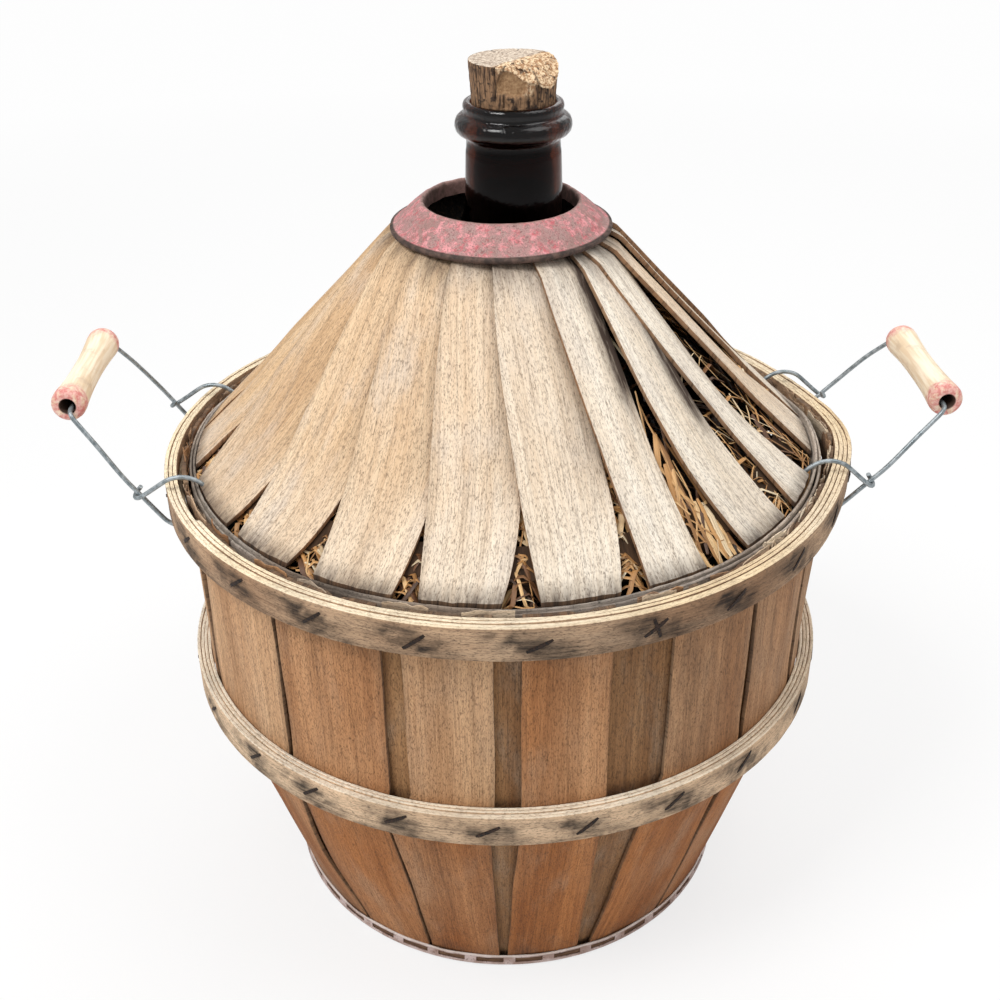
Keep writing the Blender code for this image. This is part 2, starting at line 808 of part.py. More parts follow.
def grip(side, carrier, surface):
    """Turned grip, hanging with the side of its wide bore on the wire."""
    half = GRIP_LENGTH / 2
    outline = [(GRIP_BORE_R, -half), (GRIP_END_R - GRIP_ROUNDING, -half)]
    outline += [(GRIP_END_R, -half + GRIP_ROUNDING)]
    for share in (-0.5, 0.0, 0.5):
        swell = (2 * share) ** 2
        outline.append((lerp(GRIP_WAIST_R, GRIP_END_R, swell * 0.7), share * GRIP_LENGTH * 0.7))
    outline += [(GRIP_END_R, half - GRIP_ROUNDING)]
    outline += [(GRIP_END_R - GRIP_ROUNDING, half), (GRIP_BORE_R, half)]
    made = turned(f"{side}_grip", outline, surface, GRIP_SIDES)
    offset = GRIP_BORE_R * math.cos(math.pi / GRIP_SIDES) - WIRE_R - GAP
    made.parent = carrier
    made.location = (BAIL_REACH + offset, 0.0, -eye_radius())
    made.rotation_euler = (math.pi / 2, 0.0, 0.0)


def main():
    clear_scene()
    slat_wood = material("bleached_slat_wood", (0.62, 0.54, 0.42), 0.85)
    stave_wood = material("brown_stave_wood", (0.45, 0.27, 0.15), 0.8)
    inner_wood = material("inner_stave_wood", (0.30, 0.17, 0.09), 0.85)
    hoop_wood = material("hoop_wood", (0.52, 0.42, 0.31), 0.85)
    base_wood = material("base_wood", (0.40, 0.26, 0.15), 0.85)
    steel = material("rusty_steel", (0.20, 0.15, 0.13), 0.6, 0.7)
    collar_paint = material("worn_red_paint", (0.62, 0.33, 0.32), 0.6, 0.2)
    band_paint = material("pale_band_paint", (0.60, 0.52, 0.49), 0.6, 0.3)
    glass = material("dark_glass", (0.03, 0.02, 0.01), 0.05, 0.0, 0.6)
    cork_bark = material("cork", (0.55, 0.38, 0.22), 0.9)
    straw_stalks = material("straw", (0.58, 0.40, 0.16), 0.9)
    galvanised = material("galvanised_wire", (0.45, 0.47, 0.49), 0.4, 1.0)
    grip_wood = material("turned_grip_wood", (0.80, 0.64, 0.46), 0.6)
    base_pieces(base_wood, band_paint)
    outer_staves(stave_wood)
    inner_staves(inner_wood)
    rim_hoops(hoop_wood)
    roof_hoop(hoop_wood)
    roof_slats(slat_wood)
    collar(collar_paint)
    backing_ring(steel)
    bottle(glass)
    straw(straw_stalks)
    cork(cork_bark)
    bail("left", -1, LEFT_BAIL_ANGLE, galvanised, grip_wood)
    bail("right", 1, RIGHT_BAIL_ANGLE, galvanised, grip_wood)


main()
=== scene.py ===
"""Demijohn in a basket of bent chip wood: the looks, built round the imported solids.

Angles round the basket are in degrees from the front, -Y, and grow towards +X.
"""

import math
import random

import bpy
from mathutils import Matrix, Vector, noise


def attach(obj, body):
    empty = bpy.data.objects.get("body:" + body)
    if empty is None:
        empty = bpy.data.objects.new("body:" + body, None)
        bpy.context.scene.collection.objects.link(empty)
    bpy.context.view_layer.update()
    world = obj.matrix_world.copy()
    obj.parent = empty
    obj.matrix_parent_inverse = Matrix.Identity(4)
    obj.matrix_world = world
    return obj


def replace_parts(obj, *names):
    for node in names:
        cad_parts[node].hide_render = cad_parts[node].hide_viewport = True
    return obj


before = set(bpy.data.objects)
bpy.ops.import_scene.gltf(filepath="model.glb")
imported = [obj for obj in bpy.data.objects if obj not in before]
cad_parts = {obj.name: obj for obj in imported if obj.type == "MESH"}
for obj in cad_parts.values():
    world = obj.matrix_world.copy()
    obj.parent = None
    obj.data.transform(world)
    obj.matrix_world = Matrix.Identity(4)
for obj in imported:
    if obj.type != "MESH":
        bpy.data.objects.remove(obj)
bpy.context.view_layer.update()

bpy.ops.object.select_all(action="DESELECT")


# Studio. A pale floor under a white backdrop, one large soft lamp high on the left, a weaker one
# on the right and an even sky. Camera rays see floor and sky nearly white; the shadow stays.
LAMP_AIM = Vector((0.0, 0.0, 0.25))
FLOOR_PALENESS = {"From Min": 0.4, "From Max": 2.2, "To Min": 0.7, "To Max": 0.97}


def feed(socket, value):
    """Give a socket a plain value, or link it to another node's output."""
    if isinstance(value, bpy.types.NodeSocket):
        tree.links.new(value, socket)
    else:
        socket.default_value = value


def node(kind, inputs=None, **settings):
    """New node in the tree that is being made, with its settings and what its inputs are fed."""
    made = tree.nodes.new(kind)
    for key, value in settings.items():
        setattr(made, key, value)
    for key, value in (inputs or {}).items():
        feed(made.inputs[key], value)
    return made


def object_point():
    return node("ShaderNodeTexCoord").outputs["Object"]


def background_rays():
    """Share of rays that look at the backdrop: those of the camera and those through glass."""
    rays = node("ShaderNodeLightPath").outputs
    either = {0: rays["Is Camera Ray"], 1: rays["Is Transmission Ray"]}
    return node("ShaderNodeMath", either, operation="MAXIMUM").outputs[0]


scene = bpy.context.scene
scene.view_settings.view_transform = "Standard"

camera_data = bpy.data.cameras.new("camera")
camera_data.lens = 46.8
camera_data.sensor_width = 36.0
camera = bpy.data.objects.new("camera", camera_data)
camera.location = (-0.0218, -0.69356, 0.6608)
camera.rotation_euler = [math.radians(angle) for angle in (59.461, 0.548, -1.931)]
scene.collection.objects.link(camera)
scene.camera = camera

for name, place, size, power in (
    ("key_lamp", (-0.8, -0.7, 1.75), 0.65, 19.0),
    ("fill_lamp", (0.9, -0.3, 1.8), 1.0, 9.5),
    ("back_lamp", (0.3, 1.3, 1.4), 1.2, 7.0),
):
    lamp = bpy.data.lights.new(name, "AREA")
    lamp.size = size
    lamp.energy = power
    holder = bpy.data.objects.new(name, lamp)
    holder.location = place
    holder.rotation_euler = (LAMP_AIM - holder.location).to_track_quat("-Z", "Y").to_euler()
    scene.collection.objects.link(holder)

world = bpy.data.worlds.new("sky")
world.use_nodes = True
scene.world = world
tree = world.node_tree
strength = node("ShaderNodeMapRange", {"To Min": 0.55, "To Max": 1.0, "Value": background_rays()})
feed(tree.nodes["Background"].inputs["Strength"], strength.outputs["Result"])
feed(tree.nodes["Background"].inputs["Color"], (1.0, 1.0, 1.0, 1.0))

bpy.ops.mesh.primitive_plane_add(size=30.0, location=(0, 0, -0.0004))
floor = bpy.context.object
floor.name = "floor"
floor_paint = bpy.data.materials.new("floor_paint")
floor_paint.use_nodes = True
tree = floor_paint.node_tree
plain = tree.nodes["Principled BSDF"]
feed(plain.inputs["Base Color"], (0.9, 0.9, 0.9, 1.0))
feed(plain.inputs["Roughness"], 0.9)
away = node("ShaderNodeVectorMath", {0: object_point()}, operation="LENGTH")
paler = node("ShaderNodeMapRange", {"Value": away.outputs["Value"], **FLOOR_PALENESS})
share = node("ShaderNodeMath", {0: background_rays(), 1: paler.outputs["Result"]}, operation="MULTIPLY")
glow = node("ShaderNodeEmission")
blend = node("ShaderNodeMixShader", {0: share.outputs[0], 1: plain.outputs[0], 2: glow.outputs[0]})
feed(tree.nodes["Material Output"].inputs["Surface"], blend.outputs[0])
floor.data.materials.append(floor_paint)


# Roof. Twenty slats of thin sawn wood, bleached by the sun, run from the rim up under the collar.
# They lie flat at the foot and lap higher up, each left edge over its neighbour's right edge.
ROOF_FOOT_R = 0.179682
ROOF_FOOT_Z = 0.299
ROOF_BEND_R = 0.064
ROOF_TOP_Z = 0.4189
ROOF_SLOPE = (ROOF_TOP_Z - ROOF_FOOT_Z) / (ROOF_FOOT_R - ROOF_BEND_R)
COLLAR_SLOPE = 0.5
SLAT_T = 0.0026
SLAT_CUT_R = 0.1807
SLAT_TOP_R = 0.0535
SLAT_LAP = 0.003
SLAT_PITCH = 18.0
SLAT_ROUND = 0.0004
# The first row of points above a slat's foot, as a share of its length.
FOOT_ROW = 0.005


def lerp(a, b, t):
    return a + (b - a) * t


def clamp(value, low=0.0, high=1.0):
    return min(max(value, low), high)


def ease(t):
    t = clamp(t)
    return t * t * (3 - 2 * t)


def around(radius, degrees, z):
    angle = math.radians(degrees)
    return Vector((radius * math.sin(angle), -radius * math.cos(angle), z))


def bearing(point):
    """Angle round the basket of a point, in degrees."""
    return math.degrees(math.atan2(point.x, -point.y))


def past(degrees, start):
    """How far an angle lies past another one, from -180 to 180 degrees."""
    return (degrees - start + 180) % 360 - 180


def widen(vertex, factor):
    vertex.co.x *= factor
    vertex.co.y *= factor


def ripple(x, y, seed):
    """Smooth noise between -1 and 1."""
    return noise.noise(Vector((x, y, seed * 7.31)))


def round_noise(angle, waves, seed):
    """Smooth noise round the basket, at an angle in radians; it closes on itself."""
    return noise.noise(Vector((math.cos(angle) * waves, math.sin(angle) * waves, seed)))


def select_only(piece):
    bpy.ops.object.select_all(action="DESELECT")
    piece.select_set(True)
    bpy.context.view_layer.objects.active = piece


def apply_modifiers(piece):
    select_only(piece)
    for modifier in list(piece.modifiers):
        bpy.ops.object.modifier_apply(modifier=modifier.name)


def turn_outward(piece):
    """Make every face look outward."""
    select_only(piece)
    bpy.ops.object.mode_set(mode="EDIT")
    bpy.ops.mesh.select_all(action="SELECT")
    bpy.ops.mesh.normals_make_consistent(inside=False)
    bpy.ops.object.mode_set(mode="OBJECT")


def smooth(piece, degrees):
    """Shade smooth, apart from edges that turn by more than this angle."""
    select_only(piece)
    bpy.ops.object.shade_smooth_by_angle(angle=math.radians(degrees))


def blank_board(across, along):
    """A slab from (0, 0, 0) to (1, 1, -1), split into a grid, with its sides as material 1."""
    bpy.ops.object.select_all(action="DESELECT")
    bpy.ops.mesh.primitive_grid_add(x_subdivisions=across, y_subdivisions=along, size=1.0)
    board = bpy.context.object
    bpy.ops.object.mode_set(mode="EDIT")
    bpy.ops.mesh.select_all(action="SELECT")
    bpy.ops.mesh.extrude_region_move(TRANSFORM_OT_translate={"value": (0, 0, -1)})
    bpy.ops.object.mode_set(mode="OBJECT")
    turn_outward(board)
    for vertex in board.data.vertices:
        vertex.co.x += 0.5
        vertex.co.y += 0.5
    for face in board.data.polygons:
        face.material_index = 0 if abs(face.normal.z) > 0.5 else 1
    return board


def cut_board(blank, name, place, grain, woods, round_edge):
    """Shape a copy of the blank: place gives a vertex its point, grain its metres on the wood."""
    board = blank.copy()
    board.data = blank.data.copy()
    board.name = name
    scene.collection.objects.link(board)
    mesh = board.data
    layer = mesh.uv_layers[0].data
    for loop in mesh.loops:
        u, v, w = mesh.vertices[loop.vertex_index].co
        layer[loop.index].uv = grain(u, v)
    for vertex in mesh.vertices:
        u, v, w = vertex.co
        vertex.co = place(u, v, -w)
    for wood in woods:
        mesh.materials.append(wood)
    turn_outward(board)
    bevel = board.modifiers.new("rounded", "BEVEL")
    bevel.width = round_edge
    bevel.segments = 2
    bevel.angle_limit = math.radians(50)
    apply_modifiers(board)
    smooth(board, 40)
    return board


def stain_mesh(piece, name, values):
    """Store an attribute on the vertices, from a list or from a function of their places."""
    if callable(values):
        values = [values(vertex.co) for vertex in piece.data.vertices]
    piece.data.attributes.new(name, "FLOAT", "POINT").data.foreach_set("value", values)


def speckle(scale, detail, roughness=0.5, place=None):
    """Noise with so many waves for each metre, on Object coordinates if no place is given."""
    place = object_point() if place is None else place
    inputs = {"Vector": place, "Scale": scale, "Detail": detail, "Roughness": roughness}
    return node("ShaderNodeTexNoise", inputs).outputs["Fac"]


def grain_noise(coordinates, across, along, detail, shift=0.0):
    """Noise drawn out along the grain; the sizes are in waves for each metre."""
    location = (shift, shift * 0.37, shift * 1.7)
    inputs = {"Scale": (across, along, 1.0), "Location": location, "Vector": coordinates}
    return speckle(1.0, detail, 0.6, node("ShaderNodeMapping", inputs).outputs[0])


def ramp(value, low, high, out_low=0.0, out_high=1.0):
    inputs = {"Value": value, "From Min": low, "From Max": high, "To Min": out_low, "To Max": out_high}
    return node("ShaderNodeMapRange", inputs, interpolation_type="SMOOTHSTEP").outputs["Result"]


def times(a, b):
    return node("ShaderNodeMath", {0: a, 1: b}, operation="MULTIPLY", use_clamp=True).outputs[0]


def mixed(share, a, b, how="MIX"):
    """Mix of two colours, each a tuple or another node's output."""
    a, b = [(*colour, 1.0) if isinstance(colour, tuple) else colour for colour in (a, b)]
    return node("ShaderNodeMix", {0: share, 6: a, 7: b}, data_type="RGBA", blend_type=how).outputs[2]


def attribute(name):
    return node("ShaderNodeAttribute", attribute_name=name).outputs["Fac"]


def uv_of():
    return node("ShaderNodeUVMap", uv_map="UVMap").outputs[0]


def new_finish(name, roughness):
    """Start a material; nodes made from now on go into its tree."""
    global tree, shader
    made = bpy.data.materials.new(name)
    made.use_nodes = True
    tree = made.node_tree
    shader = tree.nodes["Principled BSDF"].inputs
    feed(shader["Roughness"], roughness)
    return made


def bumped(height, distance, strength=1.0):
    bump = node("ShaderNodeBump", {"Distance": distance, "Strength": strength, "Height": height})
    feed(shader["Normal"], bump.outputs[0])


def weathered_wood(
    name, coordinates, brown, bleached, silver, pore, silvering, soil_and_shade_colour=(0.035, 0.03, 0.028),
):
    """Bare wood with bands, streaks, fibres, short dark pores and silvered patches.

    brown and bleached are (pale, deep) pairs; the tone attribute goes from one to the other, and
    the attribute of soil and shade lays its dark colour over them: dirt, and on some pieces painted shade.
    """
    made = new_finish(name, 0.8)
    feed(shader["Specular IOR Level"], 0.2)
    place = coordinates()
    band = grain_noise(place, 42.0, 1.3, 3.0)
    streak = grain_noise(place, 300.0, 8.0, 4.0, 3.1)
    fibre = grain_noise(place, 1900.0, 70.0, 2.0, 5.7)
    pores = grain_noise(place, 2300.0, 520.0, 2.0, 9.2)
    patch = grain_noise(place, 34.0, 13.0, 7.0, 12.9)
    speck = grain_noise(place, 1150.0, 330.0, 3.0, 17.3)
    line = grain_noise(place, 900.0, 20.0, 3.0, 25.1)
    tone = attribute("tone")
    pale = mixed(tone, brown[0], bleached[0])
    deep = mixed(tone, brown[1], bleached[1])
    colour = mixed(ramp(band, 0.34, 0.66), deep, pale)
    colour = mixed(ramp(streak, 0.40, 0.78, 0.0, 0.6), colour, deep)
    colour = mixed(ramp(patch, 0.46, 0.70, 0.0, silvering), colour, silver)
    colour = mixed(ramp(fibre, 0.3, 0.7, 0.0, 0.35), colour, (1.0, 0.97, 0.92), "SOFT_LIGHT")
    colour = mixed(ramp(line, 0.50, 0.70, 0.0, 0.32), colour, pore)
    colour = mixed(ramp(line, 0.30, 0.46, 0.55, 0.0), colour, pale)
    colour = mixed(ramp(speck, 0.50, 0.70, 0.0, 0.42), colour, pore)
    colour = mixed(ramp(pores, 0.54, 0.68, 0.0, 0.5), colour, pore)
    # Noise that breaks up the dirt and painted shade laid on by that attribute.
    blotches = ramp(grain_noise(place, 330.0, 45.0, 4.0, 21.0), 0.25, 0.75, 0.45, 1.0)
    colour = mixed(times(attribute("soil_and_shade"), blotches), colour, soil_and_shade_colour)
    feed(shader["Base Color"], colour)
    height = mixed(0.5, line, fibre)
    height = mixed(ramp(pores, 0.56, 0.70, 0.0, 0.8), height, (0.0, 0.0, 0.0))
    bumped(height, 0.0005, 0.9)
    return made


slat_wood = weathered_wood(
    "bleached_slat_wood", uv_of,
    ((0.82, 0.56, 0.33), (0.58, 0.35, 0.18)), ((0.95, 0.86, 0.73), (0.80, 0.67, 0.52)),
    (0.66, 0.59, 0.52), (0.16, 0.10, 0.068), 0.5, (0.062, 0.042, 0.032),
)
slat_edge_wood = weathered_wood(
    "slat_edge_wood", uv_of,
    ((0.42, 0.22, 0.11), (0.24, 0.11, 0.05)), ((0.46, 0.28, 0.16), (0.28, 0.15, 0.08)),
    (0.34, 0.27, 0.22), (0.05, 0.03, 0.02), 0.15,
)

SUN_FROM = 16.0
# How much more or less sun some slats have had than their side of the roof.
SLAT_SUN = {20: -0.12, 3: 0.30, 4: 0.30, 5: -0.55}
# The painted shade beside a slat's right edge, high up: how dark, and up to what distance from the axis.
SLAT_VALLEY_SHADE = {2: (1.6, 0.128), 3: (1.6, 0.148)}
PLAIN_VALLEY_SHADE = (0.24, 0.160)
# Edges of the ten slats in front, as they were nailed by eye: the left edge's angle at the foot,
# at a radius of 120 mm and at the collar, then the right edge's angle at the foot and at 120 mm.
SLATS_BY_EYE = {
    16: (-93.0, -91.5, -98.0, -79.4, -74.0),
    17: (-73.9, -79.0, -88.0, -56.5, -51.5),
    18: (-52.4, -56.5, -71.0, -39.2, -33.5),
    19: (-33.7, -37.5, -49.0, -19.6, -15.5),
    20: (-15.2, -18.8, -27.0, -2.2, 2.6),
    1: (3.8, -0.6, -6.0, 16.5, 20.9),
    2: (21.4, 19.4, 15.9, 32.4, 33.6),
    3: (42.0, 36.6, 39.2, 54.1, 52.6),
    4: (58.8, 54.6, 48.8, 70.0, 65.2),
    5: (79.0, 73.0, 66.7, 91.5, 86.5),
}


def roof_height(radius):
    if radius >= ROOF_BEND_R:
        return ROOF_FOOT_Z + (ROOF_FOOT_R - radius) * ROOF_SLOPE
    return ROOF_TOP_Z + (ROOF_BEND_R - radius) * COLLAR_SLOPE


def through_three(radius, at_foot, at_middle, at_collar):
    """Smooth curve through values at 180, 120 and 62 mm from the middle."""
    a, b, c = 0.180, 0.120, 0.062
    return (
        at_foot * (radius - b) * (radius - c) / ((a - b) * (a - c))
        + at_middle * (radius - a) * (radius - c) / ((b - a) * (b - c))
        + at_collar * (radius - a) * (radius - b) / ((c - a) * (c - b))
    )


random.seed(20)
slat_lines = {}
slat_blank = blank_board(12, 34)
for number in range(1, 21):
    middle = (number - 0.5) * SLAT_PITCH
    middle -= 360.0 if middle > 180.0 else 0.0
    if number in SLATS_BY_EYE:
        left_foot, left_mid, left_top, right_foot, right_mid = SLATS_BY_EYE[number]
        right_top = left_top + 27.0
        top_shift = -0.0006
    else:
        shift, spare = random.uniform(-1.2, 1.2), random.uniform(-0.6, 0.6)
        left_foot, right_foot = middle - 6.4 + shift - spare, middle + 6.4 + shift + spare
        left_mid, right_mid = middle - 9.3 + shift * 0.4, middle + 8.9 + shift * 0.4
        left_top, right_top = middle - 14.0, middle + 13.0
        top_shift = 0.0006
    slat_lines[number] = (left_foot, left_mid, left_top, right_foot, right_mid, right_top)
    dip = random.uniform(0.0012, 0.0026)
    bow = random.uniform(-0.0007, 0.0007)
    slat_fade = random.uniform(-0.22, 0.22)
    start = (random.uniform(0, 9), random.uniform(0, 9))

    def slat_edges(radius):
        left = through_three(radius, left_foot, left_mid, left_top)
        right = through_three(radius, right_foot, right_mid, right_top)
        left += 0.25 * ripple(radius * 22, 0.0, number)
        return left, right + 0.25 * ripple(radius * 22, 5.0, number)

    def slat_point(u, v, under):
        v = FOOT_ROW if 0.0 < v < 0.04 else v
        sign = -0.5 if under else 0.5
        out, up = ROOF_SLOPE / math.hypot(1, ROOF_SLOPE), 1 / math.hypot(1, ROOF_SLOPE)
        foot = SLAT_CUT_R - sign * SLAT_T * out + 0.0005 * ripple(u * 6, 3.0, number)
        radius = lerp(foot, SLAT_TOP_R, v)
        left, right = slat_edges(radius)
        angle = lerp(left, right, u)
        lap = SLAT_LAP * ease((0.150 - radius) / 0.024) if radius > 0.126 else SLAT_LAP
        rise = -lap * (angle - middle) / SLAT_PITCH
        rise -= dip * ease((u - 0.55) / 0.45) * ease((0.165 - radius) / 0.03) * ease((radius - 0.06) / 0.03)
        rise += bow * math.sin(math.pi * v) * 2 + top_shift * ease((0.097 - radius) / 0.03)
        rise += 0.0005 * (4 * (u - 0.5) ** 2) * ease((radius - 0.12) / 0.05)
        rise += sign * SLAT_T
        return around(radius + rise * out, angle, roof_height(radius) + rise * up)

    def slat_grain(u, v):
        v = FOOT_ROW if 0.0 < v < 0.04 else v
        radius = lerp(SLAT_CUT_R, SLAT_TOP_R, v)
        left, right = slat_edges(radius)
        across = math.radians(right - left) * radius * (u - 0.5)
        return start[0] + across, start[1] + (SLAT_CUT_R - radius) * 1.44

    slat = cut_board(
        slat_blank, f"slat_{number:02d}", slat_point, slat_grain, (slat_wood, slat_edge_wood), SLAT_ROUND,
    )

    def slat_soil_and_shade(point):
        radius = math.hypot(point.x, point.y)
        degrees = bearing(point)
        # Darker on the foot's end and just above it: painted shade. Darker under the collar's rim: painted
        # shade and dirt.
        foot = 0.9 * ease((radius - 0.1793) / 0.001)
        foot += ease((radius - 0.1740) / 0.005) * (0.16 + 0.5 * ripple(degrees * 0.35, 1.0, 4))
        collar = ease((0.076 - radius) / 0.016) * (0.6 + 0.5 * ripple(degrees * 0.2, 2.0, 5))
        left, right = slat_edges(radius)
        across = past(degrees, left) / (right - left)
        # Painted shade beside the right edge, where the slat dips under its neighbour.
        deep, reach = SLAT_VALLEY_SHADE.get(number, PLAIN_VALLEY_SHADE)
        valley_shade = ease((across - 0.50) / 0.42) * ease((reach - radius) / 0.028) * deep
        rubbed = 0.2 * ease((0.05 - across) / 0.05)
        return max(min(max(foot, collar, rubbed, 0.0), 0.92), valley_shade)

    def slat_tone(point):
        radius = math.hypot(point.x, point.y)
        sun = 0.34 + 0.52 * math.sin(math.radians(middle + SUN_FROM)) + 0.7 * slat_fade
        sun += SLAT_SUN.get(number, 0.0)
        return clamp(sun + 0.35 * ease((radius - 0.13) / 0.05))

    stain_mesh(slat, "soil_and_shade", slat_soil_and_shade)
    stain_mesh(slat, "tone", slat_tone)
    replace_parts(slat, f"roof_slat_{number:02d}")
    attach(slat, "basket")
bpy.data.objects.remove(slat_blank)


# Staves. Twenty thin boards of split wood stand round the basket, bent in just under the middle
# hoop. They are stapled under the hoops, unevenly spaced, and their tops are torn and ragged.
STAVE_TOP_Z = 0.3005
STAVE_FOOT_Z = 0.0008
STAVE_T = 0.0024
STAVE_ROUND = 0.0003
MIDDLE_HOOP_Z, TOP_HOOP_Z = 0.165, 0.289
# The wall's two straight lines, with the bend between them under the middle hoop.
WALL_FOOT_R, WALL_BEND_R, WALL_CORNER_R, WALL_ABOVE_R, WALL_RIM_R = 0.1406, 0.18174, 0.187, 0.1873, 0.1894
BEND_Z, BEND_RISE, ABOVE_BEND_Z, ABOVE_RISE = 0.1409, 0.036, 0.1769, 0.1236
STAVE_LEVELS = (0.0, 0.067, 0.152, 0.178, 0.3005)
# Sides of the gaps in front at each of those levels, left and right, in degrees.
GAPS_BY_EYE = {
    -4: ((-84.6, -84.0), (-85.0, -84.2), (-86.0, -85.0), (-86.2, -85.0), (-86.5, -85.2)),
    -3: ((-61.4, -60.2), (-63.6, -61.6), (-66.0, -64.0), (-69.6, -66.2), (-70.6, -65.9)),
    -2: ((-40.9, -39.8), (-46.6, -44.4), (-43.2, -42.0), (-41.8, -40.7), (-41.9, -40.7)),
    -1: ((-21.9, -21.2), (-22.2, -21.6), (-23.0, -22.4), (-21.2, -17.6), (-21.1, -17.7)),
    0: ((-3.9, -1.9), (-4.3, -1.0), (-4.5, 0.1), (-3.7, 0.6), (-3.6, 0.7)),
    1: ((15.8, 19.3), (15.1, 20.8), (14.5, 22.3), (14.6, 25.0), (14.6, 25.1)),
    2: ((40.0, 41.0), (41.0, 42.2), (41.6, 42.8), (42.2, 43.4), (42.2, 43.4)),
    3: ((60.4, 61.2), (60.9, 62.0), (61.0, 62.4), (61.2, 62.8), (61.0, 62.6)),
}
# Middles of the wider gaps that the bails' legs swing down into.
LEG_GAPS = {-6: -107.55, 4: 72.45, 6: 107.55}
# Above this height the stave beside the left bail's eye is cut back to this angle, to clear its leg.
LEG_CUT_Z, LEG_CUT_ANGLE = 0.2495, -74.3
# Staves on the left whose tops are nearly whole, with less painted shade at the rim.
LEFT_STAVES = (-5, -4)
# How far the rim stands out at most, at what angle, and how far the bulge spreads.
RIM_BULGE, BULGE_AT, BULGE_SPREAD = 0.0075, 88.0, 14.0


def wall_radius(z):
    """Outside of the staves: two straight lines with a rounded bend."""
    if z < BEND_Z:
        return lerp(WALL_FOOT_R, WALL_BEND_R, z / BEND_Z)
    if z > ABOVE_BEND_Z:
        return lerp(WALL_ABOVE_R, WALL_RIM_R, (z - ABOVE_BEND_Z) / ABOVE_RISE)
    t = (z - BEND_Z) / BEND_RISE
    return (1 - t) ** 2 * WALL_BEND_R + 2 * t * (1 - t) * WALL_CORNER_R + t * t * WALL_ABOVE_R


def rim_bulge(degrees):
    """The rim is not round: on the right it stands out further."""
    return RIM_BULGE * math.exp(-(((degrees - BULGE_AT) / BULGE_SPREAD) ** 2))


def in_steps(levels, values, z):
    """Value at height z between the values that are given for some levels."""
    for low, high, a, b in zip(levels, levels[1:], values, values[1:]):
        if z <= high:
            return lerp(a, b, ease((z - low) / (high - low)))
    return values[-1]


random.seed(41)
gap_sides = {}
for index in range(-10, 10):
    if index in GAPS_BY_EYE:
        gap_sides[index] = GAPS_BY_EYE[index]
    else:
        drift = random.uniform(-1.3, 1.3)
        middle, wider = index * 18 + drift, 0.0
        if index in LEG_GAPS:
            middle, wider = LEG_GAPS[index], 0.9
        gap_sides[index] = tuple(
            (lerp(index * 18, middle, share) - width / 2, lerp(index * 18, middle, share) + width / 2)
            for share, width in ((0.3, 1.3), (0.6, 2.0), (0.9, 2.6), (1.0, 3.0 + wider), (1.0, 3.1 + wider))
        )
gap_sides[10] = tuple((left + 360, right + 360) for left, right in gap_sides[-10])

stave_wood = weathered_wood(
    "brown_stave_wood", uv_of,
    ((0.43, 0.165, 0.052), (0.25, 0.085, 0.024)), ((0.72, 0.44, 0.25), (0.46, 0.26, 0.135)),
    (0.40, 0.26, 0.165), (0.080, 0.038, 0.019), 0.4,
)
stave_edge_wood = weathered_wood(
    "stave_edge_wood", uv_of,
    ((0.30, 0.16, 0.08), (0.15, 0.07, 0.03)), ((0.45, 0.30, 0.18), (0.24, 0.14, 0.08)),
    (0.30, 0.24, 0.19), (0.04, 0.025, 0.02), 0.3,
)
# How bleached each stave in front is, above and below the middle hoop.
STAVE_TONES = {
    -4: (0.75, 0.30), -3: (0.80, 0.22), -2: (0.34, 0.02), -1: (1.0, 0.12), 0: (0.30, 0.02),
    1: (0.50, 0.0), 2: (0.48, 0.0), 3: (0.75, 0.1), 4: (0.7, 0.2),
}
# How much darker some of them are above the middle hoop.
STAVE_DARKER_ABOVE = {1: 0.40, 2: 0.32, 3: 0.32, 4: 0.15}

